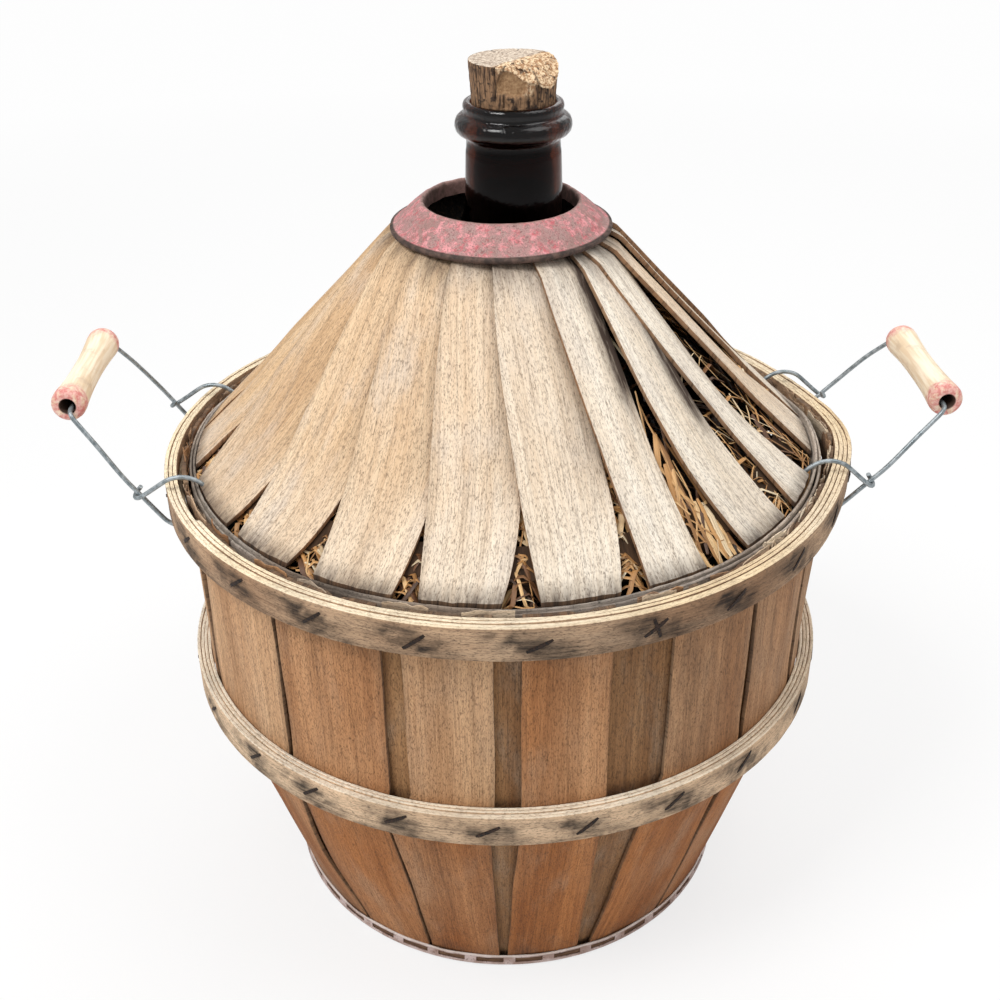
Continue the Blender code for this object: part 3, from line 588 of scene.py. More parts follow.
stave_blank = blank_board(14, 60)
for index in range(-10, 10):
    left_side = [side[1] for side in gap_sides[index]]
    right_side = [side[0] for side in gap_sides[index + 1]]
    number, seed = index % 20 + 1, index + 50
    start = (random.uniform(0, 9), random.uniform(0, 9))
    tones = STAVE_TONES.get(index, (random.uniform(0.3, 0.9), random.uniform(0.05, 0.4)))
    torn = random.uniform(0.006, 0.012) if index not in LEFT_STAVES else 0.003

    def whole_edges(z):
        left = in_steps(STAVE_LEVELS, left_side, z) + 0.22 * ripple(z * 21, 1.0, seed)
        return left, in_steps(STAVE_LEVELS, right_side, z) + 0.22 * ripple(z * 21, 4.0, seed)

    def stave_edges(z):
        left, right = whole_edges(z)
        if index == -4:
            right = lerp(right, LEG_CUT_ANGLE, ease((z - LEG_CUT_Z) / 0.005))
        return left, right

    def stave_point(u, v, under):
        ragged = torn * max(0.0, ripple(u * 5, 0.3, seed) + 0.55 * ripple(u * 19, 0.7, seed))
        z = lerp(STAVE_FOOT_Z, STAVE_TOP_Z - 0.0022 - ragged, v)
        left, right = stave_edges(z)
        free = min(abs(z - MIDDLE_HOOP_Z) - 0.008, abs(z - TOP_HOOP_Z) - 0.008) / 0.02
        curl = 0.0013 * (2 * abs(u - 0.5)) ** 3 * ripple(z * 13, u * 3, seed + 0.5)
        bow = -0.0004 + 0.0007 * ripple(z * 9, u * 1.5, seed + 0.2)
        radius = wall_radius(z) + min(curl + bow, 0.0003) * ease(free) - (STAVE_T if under else 0.0)
        angle = lerp(left, right, u)
        return around(radius + 0.92 * rim_bulge(angle) * ease((z - 0.20) / 0.08), angle, z)

    def stave_grain(u, v):
        z = lerp(STAVE_FOOT_Z, STAVE_TOP_Z, v)
        aside = lerp(*stave_edges(z), u) - sum(whole_edges(z)) / 2
        return start[0] + math.radians(aside) * wall_radius(z), start[1] + z

    stave = cut_board(
        stave_blank, f"stave_{number:02d}", stave_point, stave_grain, (stave_wood, stave_edge_wood),
        STAVE_ROUND,
    )

    def stave_soil_and_shade(point):
        degrees = bearing(point)
        # Darker under both hoops: painted shade and dirt. Darker along both edges and at the top, in the
        # groove behind the hoop: painted shade. Darker towards the foot.
        rough = 0.5 + 0.9 * ripple(degrees * 0.16, point.z * 30, 8)
        under_top = ease((point.z - 0.262) / 0.022) * 0.9
        under_middle = ease(1 - abs(point.z - 0.156) / 0.014) * 0.8
        foot = ease((0.028 - point.z) / 0.028) * 0.7
        rim = ease((point.z - 0.2895) / 0.005) * (0.72 if index not in LEFT_STAVES else 0.35)
        left, right = stave_edges(point.z)
        across = past(degrees, left) / (right - left)
        side = 0.38 * ease((abs(2 * across - 1) - 0.86) / 0.14)
        side *= 0.7 + 0.6 * ripple(point.z * 25, across, seed)
        darker_above = STAVE_DARKER_ABOVE.get(index, 0.0) * ease((point.z - 0.170) / 0.01)
        return min(max(max(under_top, under_middle, foot) * max(rough, 0.15), side, rim, darker_above), 0.8)

    def stave_tone(point):
        drift = 0.35 * ripple(point.z * 9, math.radians(bearing(point)) * 6, 11)
        return clamp(lerp(tones[1], tones[0], ease((point.z - 0.14) / 0.05)) + drift)

    stain_mesh(stave, "soil_and_shade", stave_soil_and_shade)
    stain_mesh(stave, "tone", stave_tone)
    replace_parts(stave, f"outer_stave_{number:02d}")
    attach(stave, "basket")
bpy.data.objects.remove(stave_blank)


# Inner staves, base disc, roof hoop. The lining boards behind the gaps, the round bottom and the
# hoop that the slats are nailed to: plain darker wood that sees little sun. The roof hoop's near
# black is painted shade.
def polar():
    """Angle round the basket in radians, distance from its axis, and height."""
    split = node("ShaderNodeSeparateXYZ", {0: object_point()}).outputs
    back = node("ShaderNodeMath", {0: split["Y"], 1: -1.0}, operation="MULTIPLY").outputs[0]
    angle = node("ShaderNodeMath", {0: split["X"], 1: back}, operation="ARCTAN2").outputs[0]
    flat = node("ShaderNodeCombineXYZ", {"X": split["X"], "Y": split["Y"]}).outputs[0]
    length = node("ShaderNodeVectorMath", {0: flat}, operation="LENGTH").outputs["Value"]
    return angle, length, split["Z"]


def upright_grain():
    """Grain that runs up the wall, in metres."""
    angle, distance, height = polar()
    arc = node("ShaderNodeMath", {0: angle, 1: 0.18}, operation="MULTIPLY").outputs[0]
    return node("ShaderNodeCombineXYZ", {"X": arc, "Y": height}).outputs[0]


def ring_grain():
    """Grain that runs round a hoop, in metres; across it come height and distance together."""
    angle, distance, height = polar()
    across = node("ShaderNodeMath", {0: height, 1: distance}, operation="ADD").outputs[0]
    arc = node("ShaderNodeMath", {0: angle, 1: 0.19}, operation="MULTIPLY").outputs[0]
    return node("ShaderNodeCombineXYZ", {"X": across, "Y": arc}).outputs[0]


def plank_grain():
    """Grain along X, in metres."""
    turned_place = {"Rotation": (0.0, 0.0, math.radians(90)), "Vector": object_point()}
    return node("ShaderNodeMapping", turned_place).outputs[0]


def refinish(name, finish):
    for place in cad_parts[name].material_slots:
        place.material = finish


def joined(pieces, name):
    """Join pieces of one body into one object."""
    bpy.ops.object.select_all(action="DESELECT")
    for piece in pieces:
        piece.select_set(True)
    bpy.context.view_layer.objects.active = pieces[0]
    bpy.ops.object.join()
    pieces[0].name = name
    return pieces[0]


inner_wood = weathered_wood(
    "inner_stave_wood", upright_grain,
    ((0.36, 0.19, 0.085), (0.20, 0.095, 0.04)), ((0.5, 0.35, 0.2), (0.3, 0.2, 0.1)),
    (0.30, 0.24, 0.18), (0.05, 0.03, 0.02), 0.5,
)
# The roof hoop's wood is near black: painted shade, as it lies under the slats.
shaded_hoop_wood = weathered_wood(
    "shaded_hoop_wood", ring_grain,
    ((0.075, 0.040, 0.020), (0.035, 0.018, 0.010)), ((0.16, 0.09, 0.05), (0.08, 0.04, 0.02)),
    (0.08, 0.055, 0.036), (0.012, 0.008, 0.005), 0.5,
)
disc_wood = weathered_wood(
    "base_wood", plank_grain,
    ((0.40, 0.27, 0.16), (0.26, 0.16, 0.09)), ((0.5, 0.35, 0.2), (0.3, 0.2, 0.1)),
    (0.30, 0.25, 0.20), (0.06, 0.04, 0.03), 0.6,
)
for side in ("front", "back", "left", "right"):
    refinish(f"inner_staves_{side}", inner_wood)
refinish("roof_hoop", shaded_hoop_wood)
refinish("base_disc", disc_wood)

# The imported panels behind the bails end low; short boards carry on up to the rim beside the eyes.
LINING_FOOT_Z, LINING_TOP_Z = 0.2618, 0.2808
LINING_FRONT, LINING_BACK = 0.0026, 0.0048
lining_blank = blank_board(20, 3)
lining_tops = []
for facing in (-90.0, 90.0):
    for start, end in ((-44.7, -21.0), (-16.4, 16.4), (21.0, 44.7)):

        def lining_point(u, v, under):
            z = lerp(LINING_FOOT_Z, LINING_TOP_Z, v)
            angle = facing + lerp(start, end, u)
            radius = wall_radius(z) + 0.5 * rim_bulge(angle) - (LINING_BACK if under else LINING_FRONT)
            return around(radius, angle, z)

        woods = (inner_wood, inner_wood)
        board = cut_board(lining_blank, "lining_top", lining_point, lambda u, v: (u, v), woods, 0.0002)
        lining_tops.append(board)
bpy.data.objects.remove(lining_blank)
lining = joined(lining_tops, "lining_tops")
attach(lining, "basket")


# Hoops. Each is a long strip of split wood wound round the staves four times and stapled through:
# the outer face has gone grey, the sawn edges on top are still cream with thin dark joints.
def turned(name, outline, steps, axis=(0, 0, 1), on_axis=False):
    """Outline of (radius, height) points, spun once round the axis.

    The outline closes on itself, or it starts and ends on the axis.
    """
    bpy.ops.object.select_all(action="DESELECT")
    bpy.ops.mesh.primitive_circle_add(vertices=len(outline), radius=0.1)
    made = bpy.context.object
    made.name = name
    for vertex, (radius, height) in zip(made.data.vertices, outline):
        vertex.co = (radius, height * axis[1], height * axis[2])
    if on_axis:
        closing = {0, len(outline) - 1}
        for vertex in made.data.vertices:
            vertex.select = vertex.index in closing
        for edge in made.data.edges:
            edge.select = set(edge.vertices) == closing
        bpy.ops.object.mode_set(mode="EDIT")
        bpy.ops.mesh.select_mode(type="EDGE")
        bpy.ops.mesh.delete(type="EDGE_FACE")
    bpy.ops.object.mode_set(mode="EDIT")
    bpy.ops.mesh.select_all(action="SELECT")
    bpy.ops.mesh.spin(steps=steps, angle=math.tau, center=(0, 0, 0), axis=axis)
    bpy.ops.mesh.select_all(action="SELECT")
    bpy.ops.mesh.remove_doubles(threshold=0.00001 if on_axis else 0.000005)
    bpy.ops.object.mode_set(mode="OBJECT")
    turn_outward(made)
    return made


hoop_wood = weathered_wood(
    "hoop_wood", ring_grain,
    ((0.42, 0.25, 0.145), (0.22, 0.125, 0.07)), ((0.90, 0.64, 0.42), (0.60, 0.40, 0.25)),
    (0.40, 0.30, 0.21), (0.05, 0.032, 0.025), 0.45, (0.012, 0.010, 0.010),
)
hoop_edge_wood = weathered_wood(
    "hoop_edge_wood", ring_grain,
    ((0.93, 0.79, 0.55), (0.70, 0.52, 0.31)), ((0.97, 0.89, 0.74), (0.82, 0.69, 0.52)),
    (0.70, 0.57, 0.42), (0.36, 0.23, 0.13), 0.4, (0.05, 0.04, 0.035),
)
# Angles of the staples: those in front listed one by one, those behind at even steps.
TOP_STAPLES = [-45.1, -30.2, -14.5, 2.9, 19.7, 33.6, 48.5]
TOP_STAPLES += [64.5 + 15.66 * count for count in range(16)]
MIDDLE_STAPLES = [-47.9, -34.8, -19.3, -4.7, 10.7, 25.7, 40.8, 59.9]
MIDDLE_STAPLES += [75.6 + 15.76 * count for count in range(15)]
WINDINGS = 4
WINDING_GAP = 0.00010
HOOP_EDGE = 0.0004
# Beyond this many degrees from its middle a staple leaves no stain.
STAIN_REACH = 12
TOP_STAPLE_Z, MIDDLE_STAPLE_Z = 0.2885, 0.1650


def wound_hoop(name, inner, outer, low, high, staples, stain_level, bleach, bulge):
    """Strips wound over each other, with rounded edges, uneven tops and stains at the staples."""
    strips = []
    pitch = (outer - inner) / WINDINGS
    edge, side, slope = HOOP_EDGE, HOOP_EDGE * 0.35, HOOP_EDGE * 0.3
    for turn in range(WINDINGS):
        near = inner + pitch * turn + WINDING_GAP
        far = inner + pitch * (turn + 1) - WINDING_GAP
        outline = [(far, lerp(low + edge, high - edge, share / 5)) for share in range(6)]
        outline += [(far - side, high - slope), (far - edge, high), (near + edge, high)]
        outline += [(near + side, high - slope), (near, high - edge), (near, low + edge)]
        outline += [(near + side, low + slope), (near + edge, low), (far - edge, low)]
        outline.append((far - side, low + slope))
        strip = turned(f"{name}_{turn}", outline, 420)
        for vertex in strip.data.vertices:
            angle = math.atan2(vertex.co.x, -vertex.co.y)
            sway = round_noise(angle, 4, turn * 5.1 + low * 90)
            chop = round_noise(angle, 36, turn * 3.3 + low * 70)
            share = (vertex.co.z - low) / (high - low)
            swell, nick = 0.5 + 0.5 * sway, 0.5 + 0.5 * chop
            drop = 0.0007 * swell + 0.0004 * nick + (0.0005 if turn == 2 else 0.0)
            if turn == 0 and bulge:
                degrees = math.degrees(angle)
                drop += 0.0075 * ease((-60.0 - degrees) / 6.0) * ease((degrees + 126.0) / 10.0)
            vertex.co.z -= drop * share
            vertex.co.z += 0.0006 * swell * (1 - share)
            out = bulge * rim_bulge(math.degrees(angle)) - 0.00012 - 0.00025 * nick
            widen(vertex, 1 + out / outer)
        for wood in (hoop_wood, hoop_edge_wood):
            strip.data.materials.append(wood)
        for face in strip.data.polygons:
            face.material_index = 1 if abs(face.normal.z) > 0.55 else 0
        strips.append(strip)
    hoop = joined(strips, name)
    smooth(hoop, 40)

    def stain(point):
        degrees = bearing(point)
        level = (point.z - stain_level) / 0.006
        dark = 0.0
        for count, staple in enumerate(staples):
            away = past(degrees, staple)
            if abs(away) > STAIN_REACH:
                continue
            reach = 5.6 + 2.4 * ripple(staple, 0.5, 3)
            skew = away / reach + 0.35 * ripple(point.z * 260, away * 0.5, count)
            tilt = level + 0.22 * away
            strength = 1.6 + 0.6 * ripple(staple, 2.5, 3)
            dark = max(dark, math.exp(-skew * skew * 0.9 - (tilt + 0.2) ** 2 * 0.5) * strength)
        rough = 0.8 + 1.2 * noise.noise(Vector((degrees * 0.5, point.z * 620, 3.0)))
        lower = ease((stain_level - 0.005 - point.z) / 0.004) * 0.35
        patch = ease(ripple(degrees * 0.08, 0.0, 4) / 0.4)
        lower += 0.30 * patch * ease((stain_level + 0.004 - point.z) / 0.006)
        on_top = 1.0 if point.z < high - 0.0018 else 0.25
        return min(max(dark * rough, lower * rough, 0.0) * on_top, 0.97)

    def tone(point):
        return clamp(bleach + 0.6 * ripple(bearing(point) * 0.045, 0.0, 31 + low * 100))

    stain_mesh(hoop, "soil_and_shade", stain)
    stain_mesh(hoop, "tone", tone)
    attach(hoop, "basket")
    return hoop


top_hoop = wound_hoop(
    "top_hoop_strips", 0.18996, 0.19965, 0.2790, 0.2990, TOP_STAPLES, TOP_STAPLE_Z, 0.27, 1.0,
)
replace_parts(top_hoop, "top_hoop")
middle_hoop = wound_hoop(
    "middle_hoop_strips", 0.18770, 0.19640, 0.1549, 0.1749, MIDDLE_STAPLES, MIDDLE_STAPLE_Z, 1.0, 0.0,
)
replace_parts(middle_hoop, "middle_hoop")


# Staples. Flat wire staples driven through each hoop at a slant, rusted dark brown, and one rusty
# nail that crosses the staple on the right of the front.
staple_rust = new_finish("staple_rust", 0.75)
crust = speckle(900.0, 2.0)
dark_rust = mixed(ramp(crust, 0.35, 0.65), (0.009, 0.007, 0.006), (0.045, 0.022, 0.013))
feed(shader["Base Color"], dark_rust)
feed(shader["Metallic"], 0.35)
bumped(crust, 0.0003, 0.6)

STAPLE_LENGTH, STAPLE_WIDTH, STAPLE_T = 0.0178, 0.0018, 0.0009
STAPLE_LEAN, STAPLE_SINK = 56.0, 0.00045
NAIL_LENGTH, NAIL_WIDTH, NAIL_LEAN = 0.0150, 0.0019, -20.0
NAIL_ANGLE, NAIL_Z = 19.9, 0.2882
# Distance from the axis that each hoop's staples lie at.
TOP_STAPLE_R, MIDDLE_STAPLE_R = 0.1999, 0.19665


def driven_bar(name, radius, degrees, height, length, width, lean):
    """Flat bar with bent-in ends, lying on a hoop's outer face at a lean off upright."""
    bpy.ops.object.select_all(action="DESELECT")
    bpy.ops.mesh.primitive_cube_add(size=1.0)
    bar = bpy.context.object
    bar.name = name
    bpy.ops.object.mode_set(mode="EDIT")
    bpy.ops.mesh.subdivide(number_cuts=3)
    bpy.ops.object.mode_set(mode="OBJECT")
    for vertex in bar.data.vertices:
        x, y, z = vertex.co
        along = z * length
        ends = max(0.0, abs(z) - 0.25) / 0.25
        side = x * width * (1 - 0.25 * ends)
        depth = y * STAPLE_T - STAPLE_T * ends * ends
        turn = math.radians(lean)
        arc = side * math.cos(turn) + along * math.sin(turn)
        rise = -side * math.sin(turn) + along * math.cos(turn)
        vertex.co = around(radius - STAPLE_SINK + depth, degrees + math.degrees(arc / radius), height + rise)
    turn_outward(bar)
    smooth(bar, 50)
    bar.data.materials.append(staple_rust)
    return bar


random.seed(8)
bars = []
for hoop_r, level, places in (
    (TOP_STAPLE_R, TOP_STAPLE_Z, TOP_STAPLES), (MIDDLE_STAPLE_R, MIDDLE_STAPLE_Z, MIDDLE_STAPLES),
):
    for degrees in places:
        lean = STAPLE_LEAN + random.uniform(-7, 7)
        proud = rim_bulge(degrees) if level == TOP_STAPLE_Z else 0.0
        height = level + random.uniform(-0.0012, 0.0012)
        bars.append(driven_bar("bar", hoop_r + proud, degrees, height, STAPLE_LENGTH, STAPLE_WIDTH, lean))
bars.append(driven_bar("bar", TOP_STAPLE_R, NAIL_ANGLE, NAIL_Z, NAIL_LENGTH, NAIL_WIDTH, NAIL_LEAN))
staples = joined(bars, "hoop_staples")
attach(staples, "basket")


# Retaining strips. Two thin strips bent inside the rim hold the slats' feet; damp has turned them
# grey-black. Torn chips of the staves' tops curl in the groove between them and the hoop.
strip_wood = weathered_wood(
    "retaining_strip_wood", ring_grain,
    ((0.27, 0.18, 0.12), (0.12, 0.08, 0.055)), ((0.70, 0.60, 0.50), (0.40, 0.33, 0.27)),
    (0.46, 0.41, 0.37), (0.04, 0.03, 0.025), 0.6, (0.02, 0.018, 0.017),
)
STRIP_R = 0.184
HALF_STRIP = 0.0008
STRIP_LOW_Z = 0.2812
# Of each strip, the distance from the axis at its foot and its top, and the height of its top.
STRIP_PLACES = ((0.1824, 0.1823, 0.2990), (0.1849, 0.1840, 0.2975))
strips = []
for count, (foot_r, top_r, high) in enumerate(STRIP_PLACES):
    middle = (lerp(foot_r, top_r, 0.6), lerp(STRIP_LOW_Z, high, 0.6))
    outline = [(foot_r + HALF_STRIP, STRIP_LOW_Z), (middle[0] + HALF_STRIP, middle[1])]
    outline += [(top_r + HALF_STRIP, high - 0.0005), (top_r + 0.0004, high), (top_r - 0.0004, high)]
    outline += [(top_r - HALF_STRIP, high - 0.0005), (middle[0] - HALF_STRIP, middle[1])]
    outline.append((foot_r - HALF_STRIP, STRIP_LOW_Z))
    strip = turned(f"strip_{count}", outline, 300)
    for vertex in strip.data.vertices:
        angle = math.atan2(vertex.co.x, -vertex.co.y)
        sway = round_noise(angle, 2.6, count * 4.0)
        chop = round_noise(angle, 30, count * 7.0)
        at_side = abs(math.sin(angle)) ** 3
        share = ease((vertex.co.z - 0.286) / 0.012)
        degrees = math.degrees(angle)
        pushed = ease((degrees - 12.0) / 26.0) * ease((104.0 - degrees) / 14.0)
        rise = 0.0013 * sway + 0.0004 * chop - 0.0012 * (1 - at_side)
        vertex.co.z += share * (rise + (0.0026 - 0.0008 * count) * pushed)
        out = share * (count * at_side * (0.0012 * sway + 0.0007) + 0.0014 * pushed)
        widen(vertex, 1 + out / STRIP_R)
    strips.append(strip)
retaining = joined(strips, "retaining_strips")
retaining.data.materials.append(strip_wood)
smooth(retaining, 40)


def strip_soil(point):
    damp = 0.40 + 0.9 * ripple(point.x * 22, point.y * 22, 6) - 0.25 * ease((point.x - 0.06) / 0.06)
    return clamp(damp, 0.0, 0.85)


def strip_tone(point):
    bleached = 0.30 + 0.8 * ripple(point.x * 17, point.y * 17, 9) + 0.4 * ease((point.x - 0.04) / 0.08)
    return clamp(bleached + 0.3 * ease((point.z - 0.2962) / 0.001))


stain_mesh(retaining, "soil_and_shade", strip_soil)
stain_mesh(retaining, "tone", strip_tone)
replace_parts(retaining, "retaining_hoop")
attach(retaining, "basket")

chip_wood = weathered_wood(
    "chip_wood", uv_of,
    ((0.34, 0.17, 0.075), (0.15, 0.07, 0.033)), ((0.90, 0.77, 0.58), (0.62, 0.47, 0.32)),
    (0.50, 0.44, 0.37), (0.05, 0.03, 0.02), 0.4,
)
CHIP_COUNT = 120
CHIP_T = 0.0007
random.seed(77)
chip_blank = blank_board(8, 3)
chips = []
for count in range(CHIP_COUNT):
    middle = random.uniform(-180, 180) if count < 40 else random.choice((-1, 1)) * random.gauss(76, 24)
    length, height = random.uniform(0.006, 0.034), random.uniform(0.006, 0.015)
    stands = random.random() < (0.6 if 38 < middle < 82 else 0.2)
    level = random.uniform(0.2975, 0.3010) if stands else random.uniform(0.2900, 0.2972)
    near = random.uniform(0.1860, 0.1884)
    twist, arch = random.uniform(-0.0030, 0.0030), random.uniform(-0.0022, 0.0026)
    seed = count

    def chip_point(u, v, under):
        droop = 0.0020 * ripple(u * 4, 1.0, seed) - 0.0018 * abs(ripple(u * 9, 2.0, seed))
        z = min(level - height * (1 - v) + droop * v, 0.3014)
        radius = near + arch * (4 * (u - 0.5) ** 2 - 0.5) * (0.4 + 0.6 * v) + twist * (u - 0.5) * v
        radius += 0.0 if under else CHIP_T
        angle = middle + math.degrees((u - 0.5) * length / 0.187)
        radius = clamp(radius, 0.1857 if v < 0.5 else 0.1846, 0.1898)
        return around(radius + 0.85 * rim_bulge(angle), angle, z)

    def chip_grain(u, v):
        return seed * 0.31 + v * height, seed * 0.17 + u * length

    chip = cut_board(chip_blank, f"chip_{count}", chip_point, chip_grain, (chip_wood, chip_wood), 0.00015)
    bleach = random.random() ** (0.8 if 38 < middle < 82 else 3.0)
    stain_mesh(chip, "tone", lambda p: bleach)
    # Chips lower in the groove are darker: painted shade.
    stain_mesh(chip, "soil_and_shade", lambda p: 0.85 * ease((0.2985 - p.z) / 0.009))
    chips.append(chip)
bpy.data.objects.remove(chip_blank)
torn_tops = joined(chips, "torn_stave_tops")
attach(torn_tops, "basket")


# Base band. A thin strip of painted steel with punched slots, bent round the foot of the staves over
# a dark strip of wood that is painted shade behind the slots; the white paint has gone pinkish, its
# edges are dented, and its top edge is paler with a painted highlight.
SLOT_COUNT = 37
SLOT_PITCH = 360 / SLOT_COUNT
SLOT_SHARE = 0.68
SLOT_LOW_Z, SLOT_HIGH_Z = 0.0022, 0.0061
BAND_R, BAND_HEIGHT, BAND_FOOT_Z = 0.1440, 0.0075, 0.0006
bpy.ops.object.select_all(action="DESELECT")
bpy.ops.mesh.primitive_cylinder_add(
    vertices=SLOT_COUNT * 10, radius=BAND_R, depth=BAND_HEIGHT, end_fill_type="NOTHING",
    location=(0, 0, 0.00435),
)
band = bpy.context.object
band.name = "punched_band"
bpy.ops.object.transform_apply(location=True)
bpy.ops.object.mode_set(mode="EDIT")
for level in (SLOT_LOW_Z, SLOT_HIGH_Z):
    bpy.ops.mesh.select_all(action="SELECT")
    bpy.ops.mesh.bisect(plane_co=(0, 0, level), plane_no=(0, 0, 1))
bpy.ops.mesh.select_all(action="DESELECT")
bpy.ops.object.mode_set(mode="OBJECT")
for face in band.data.polygons:
    share = bearing(face.center) % SLOT_PITCH / SLOT_PITCH
    face.select = SLOT_LOW_Z < face.center.z < SLOT_HIGH_Z and share < SLOT_SHARE
bpy.ops.object.mode_set(mode="EDIT")
bpy.ops.mesh.select_mode(type="FACE")
bpy.ops.mesh.delete(type="FACE")
bpy.ops.object.mode_set(mode="OBJECT")
turn_outward(band)
for vertex in band.data.vertices:
    dent = ripple(vertex.co.x * 45, vertex.co.y * 45, 0.0)
    share = (vertex.co.z - BAND_FOOT_Z) / BAND_HEIGHT
    vertex.co.z -= 0.0011 * share * max(0.0, dent + 0.1)
    flare = 1 + (0.0005 * dent - 0.0003) * share / BAND_R
    widen(vertex, flare)
thick = band.modifiers.new("sheet", "SOLIDIFY")
thick.thickness = 0.0009
thick.offset = -1.0
edge = band.modifiers.new("edge", "BEVEL")
edge.width = 0.00018
edge.segments = 1
edge.angle_limit = math.radians(60)
apply_modifiers(band)
smooth(band, 40)
band_paint = new_finish("pale_band_paint", 0.55)
wear = speckle(95.0, 6.0)
fleck = speckle(620.0, 3.0)
colour = mixed(ramp(wear, 0.40, 0.62), (0.60, 0.48, 0.45), (0.36, 0.24, 0.20))
colour = mixed(ramp(fleck, 0.58, 0.70, 0.0, 0.75), colour, (0.13, 0.07, 0.05))
height = polar()[2]
# Paler along the top edge: a painted highlight.
colour = mixed(ramp(height, 0.0066, 0.0074, 0.0, 0.6), colour, (0.85, 0.78, 0.72))
feed(shader["Base Color"], colour)
bumped(fleck, 0.0002, 0.5)
band.data.materials.append(band_paint)
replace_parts(band, "base_band")
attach(band, "basket")

# A dark strip behind the slots so that they read dark: its colour is painted shade.
packing_shade_wood = new_finish("packing_shade_wood", 0.85)
blotches = grain_noise(ring_grain(), 900.0, 60.0, 3.0)
feed(shader["Base Color"], mixed(ramp(blotches, 0.35, 0.65), (0.075, 0.035, 0.018), (0.20, 0.11, 0.06)))
outline = [(0.1412, 0.0007), (0.1429, 0.0007), (0.1429, 0.0076), (0.1424, 0.0076)]
packing = turned("band_packing_strip", outline, 222)
packing.data.materials.append(packing_shade_wood)
smooth(packing, 40)
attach(packing, "basket")


# Straw. The bottle is bedded in straw, seen through every gap between the slats: flattened golden
# stalks and thin pale wisps on a near-black mass, which is painted shade deep in the straw. A few
# stalks stand up between the slats' feet.
# The bed under the stalks is near black: painted shade deep in the straw.
bed_shade_finish = new_finish("shaded_straw_bed", 0.95)
mess = speckle(420.0, 4.0)
feed(shader["Base Color"], mixed(ramp(mess, 0.45, 0.7), (0.004, 0.003, 0.002), (0.035, 0.020, 0.010)))
bumped(mess, 0.002, 1.0)

# The bed's outline: up inside the wall, under the slats, round the bottle's neck and back down.
BED_DEPTH = 0.021
WALL_LEVELS = (0.016, 0.06, 0.10, 0.14, 0.16, 0.20, 0.24, 0.270)
ROOF_STEPS = (0.172, 0.160, 0.145, 0.13, 0.115, 0.10, 0.085, 0.07, 0.060)
outline = [(wall_radius(z) - 0.0100, z) for z in WALL_LEVELS]
outline += [(radius, roof_height(radius) - BED_DEPTH * 1.44) for radius in ROOF_STEPS]
outline += [
    (0.0525, 0.4120), (0.0522, 0.4255), (0.0512, 0.4312), (0.0492, 0.4312), (0.0470, 0.4240),
    (0.0440, 0.4050), (0.0400, 0.3950), (0.160, 0.26), (0.160, 0.15), (0.118, 0.016),
]
bed = turned("shaded_straw_bed", outline, 160)
for vertex in bed.data.vertices:
    lump = noise.noise(vertex.co * 60)
    vertex.co.z += 0.003 * lump if vertex.co.z > 0.275 else 0.0
bed.data.materials.append(bed_shade_finish)
smooth(bed, 60)
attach(bed, "basket")

straw_finish = new_finish("straw", 0.5)
place = uv_of()
streak = grain_noise(place, 2600.0, 60.0, 2.0)
blotch = grain_noise(place, 300.0, 120.0, 3.0, 4.0)
shades = node("ShaderNodeValToRGB", {"Fac": attribute("tone")})
shades.color_ramp.elements[0].color = (0.030, 0.015, 0.007, 1.0)
shades.color_ramp.elements[1].color = (0.92, 0.78, 0.54, 1.0)
for stop, colour in (
    (0.3, (0.17, 0.07, 0.025, 1.0)), (0.6, (0.64, 0.33, 0.11, 1.0)), (0.82, (0.88, 0.58, 0.27, 1.0)),
):
    shades.color_ramp.elements.new(stop).color = colour
colour = mixed(ramp(streak, 0.35, 0.7, 0.0, 0.6), shades.outputs[0], (0.20, 0.11, 0.05), "MULTIPLY")
colour = mixed(ramp(blotch, 0.55, 0.75, 0.0, 0.6), colour, (0.07, 0.04, 0.02))
feed(shader["Base Color"], colour)
bumped(streak, 0.0002, 0.7)

# One stalk: a flattened tube along X from 0 to 1, seven rings of six points.
bpy.ops.object.select_all(action="DESELECT")
bpy.ops.mesh.primitive_cylinder_add(
    vertices=6, radius=1.0, depth=1.0, rotation=(0, math.radians(90), 0), location=(0.5, 0, 0),
)
stalk = bpy.context.object
bpy.ops.object.transform_apply(location=True, rotation=True)
bpy.ops.object.mode_set(mode="EDIT")
for cut in range(1, 6):
    bpy.ops.mesh.select_all(action="SELECT")
    bpy.ops.mesh.bisect(plane_co=(cut / 6, 0, 0), plane_no=(1, 0, 0))
bpy.ops.object.mode_set(mode="OBJECT")
stalk_points = [vertex.co.copy() for vertex in stalk.data.vertices]
stalk_faces = [list(face.vertices) for face in stalk.data.polygons]
bpy.data.objects.remove(stalk)


def near_slat(radius, degrees):
    """Metres from this place on the roof to the nearest slat's edge; below zero under a slat."""
    nearest = 99.0
    for lines in slat_lines.values():
        left, right = through_three(radius, *lines[:3]), through_three(radius, *lines[3:])
        centre = (left + right) / 2
        away = abs(past(degrees, centre)) - (right - left) / 2
        nearest = min(nearest, away)
    return math.radians(nearest) * radius


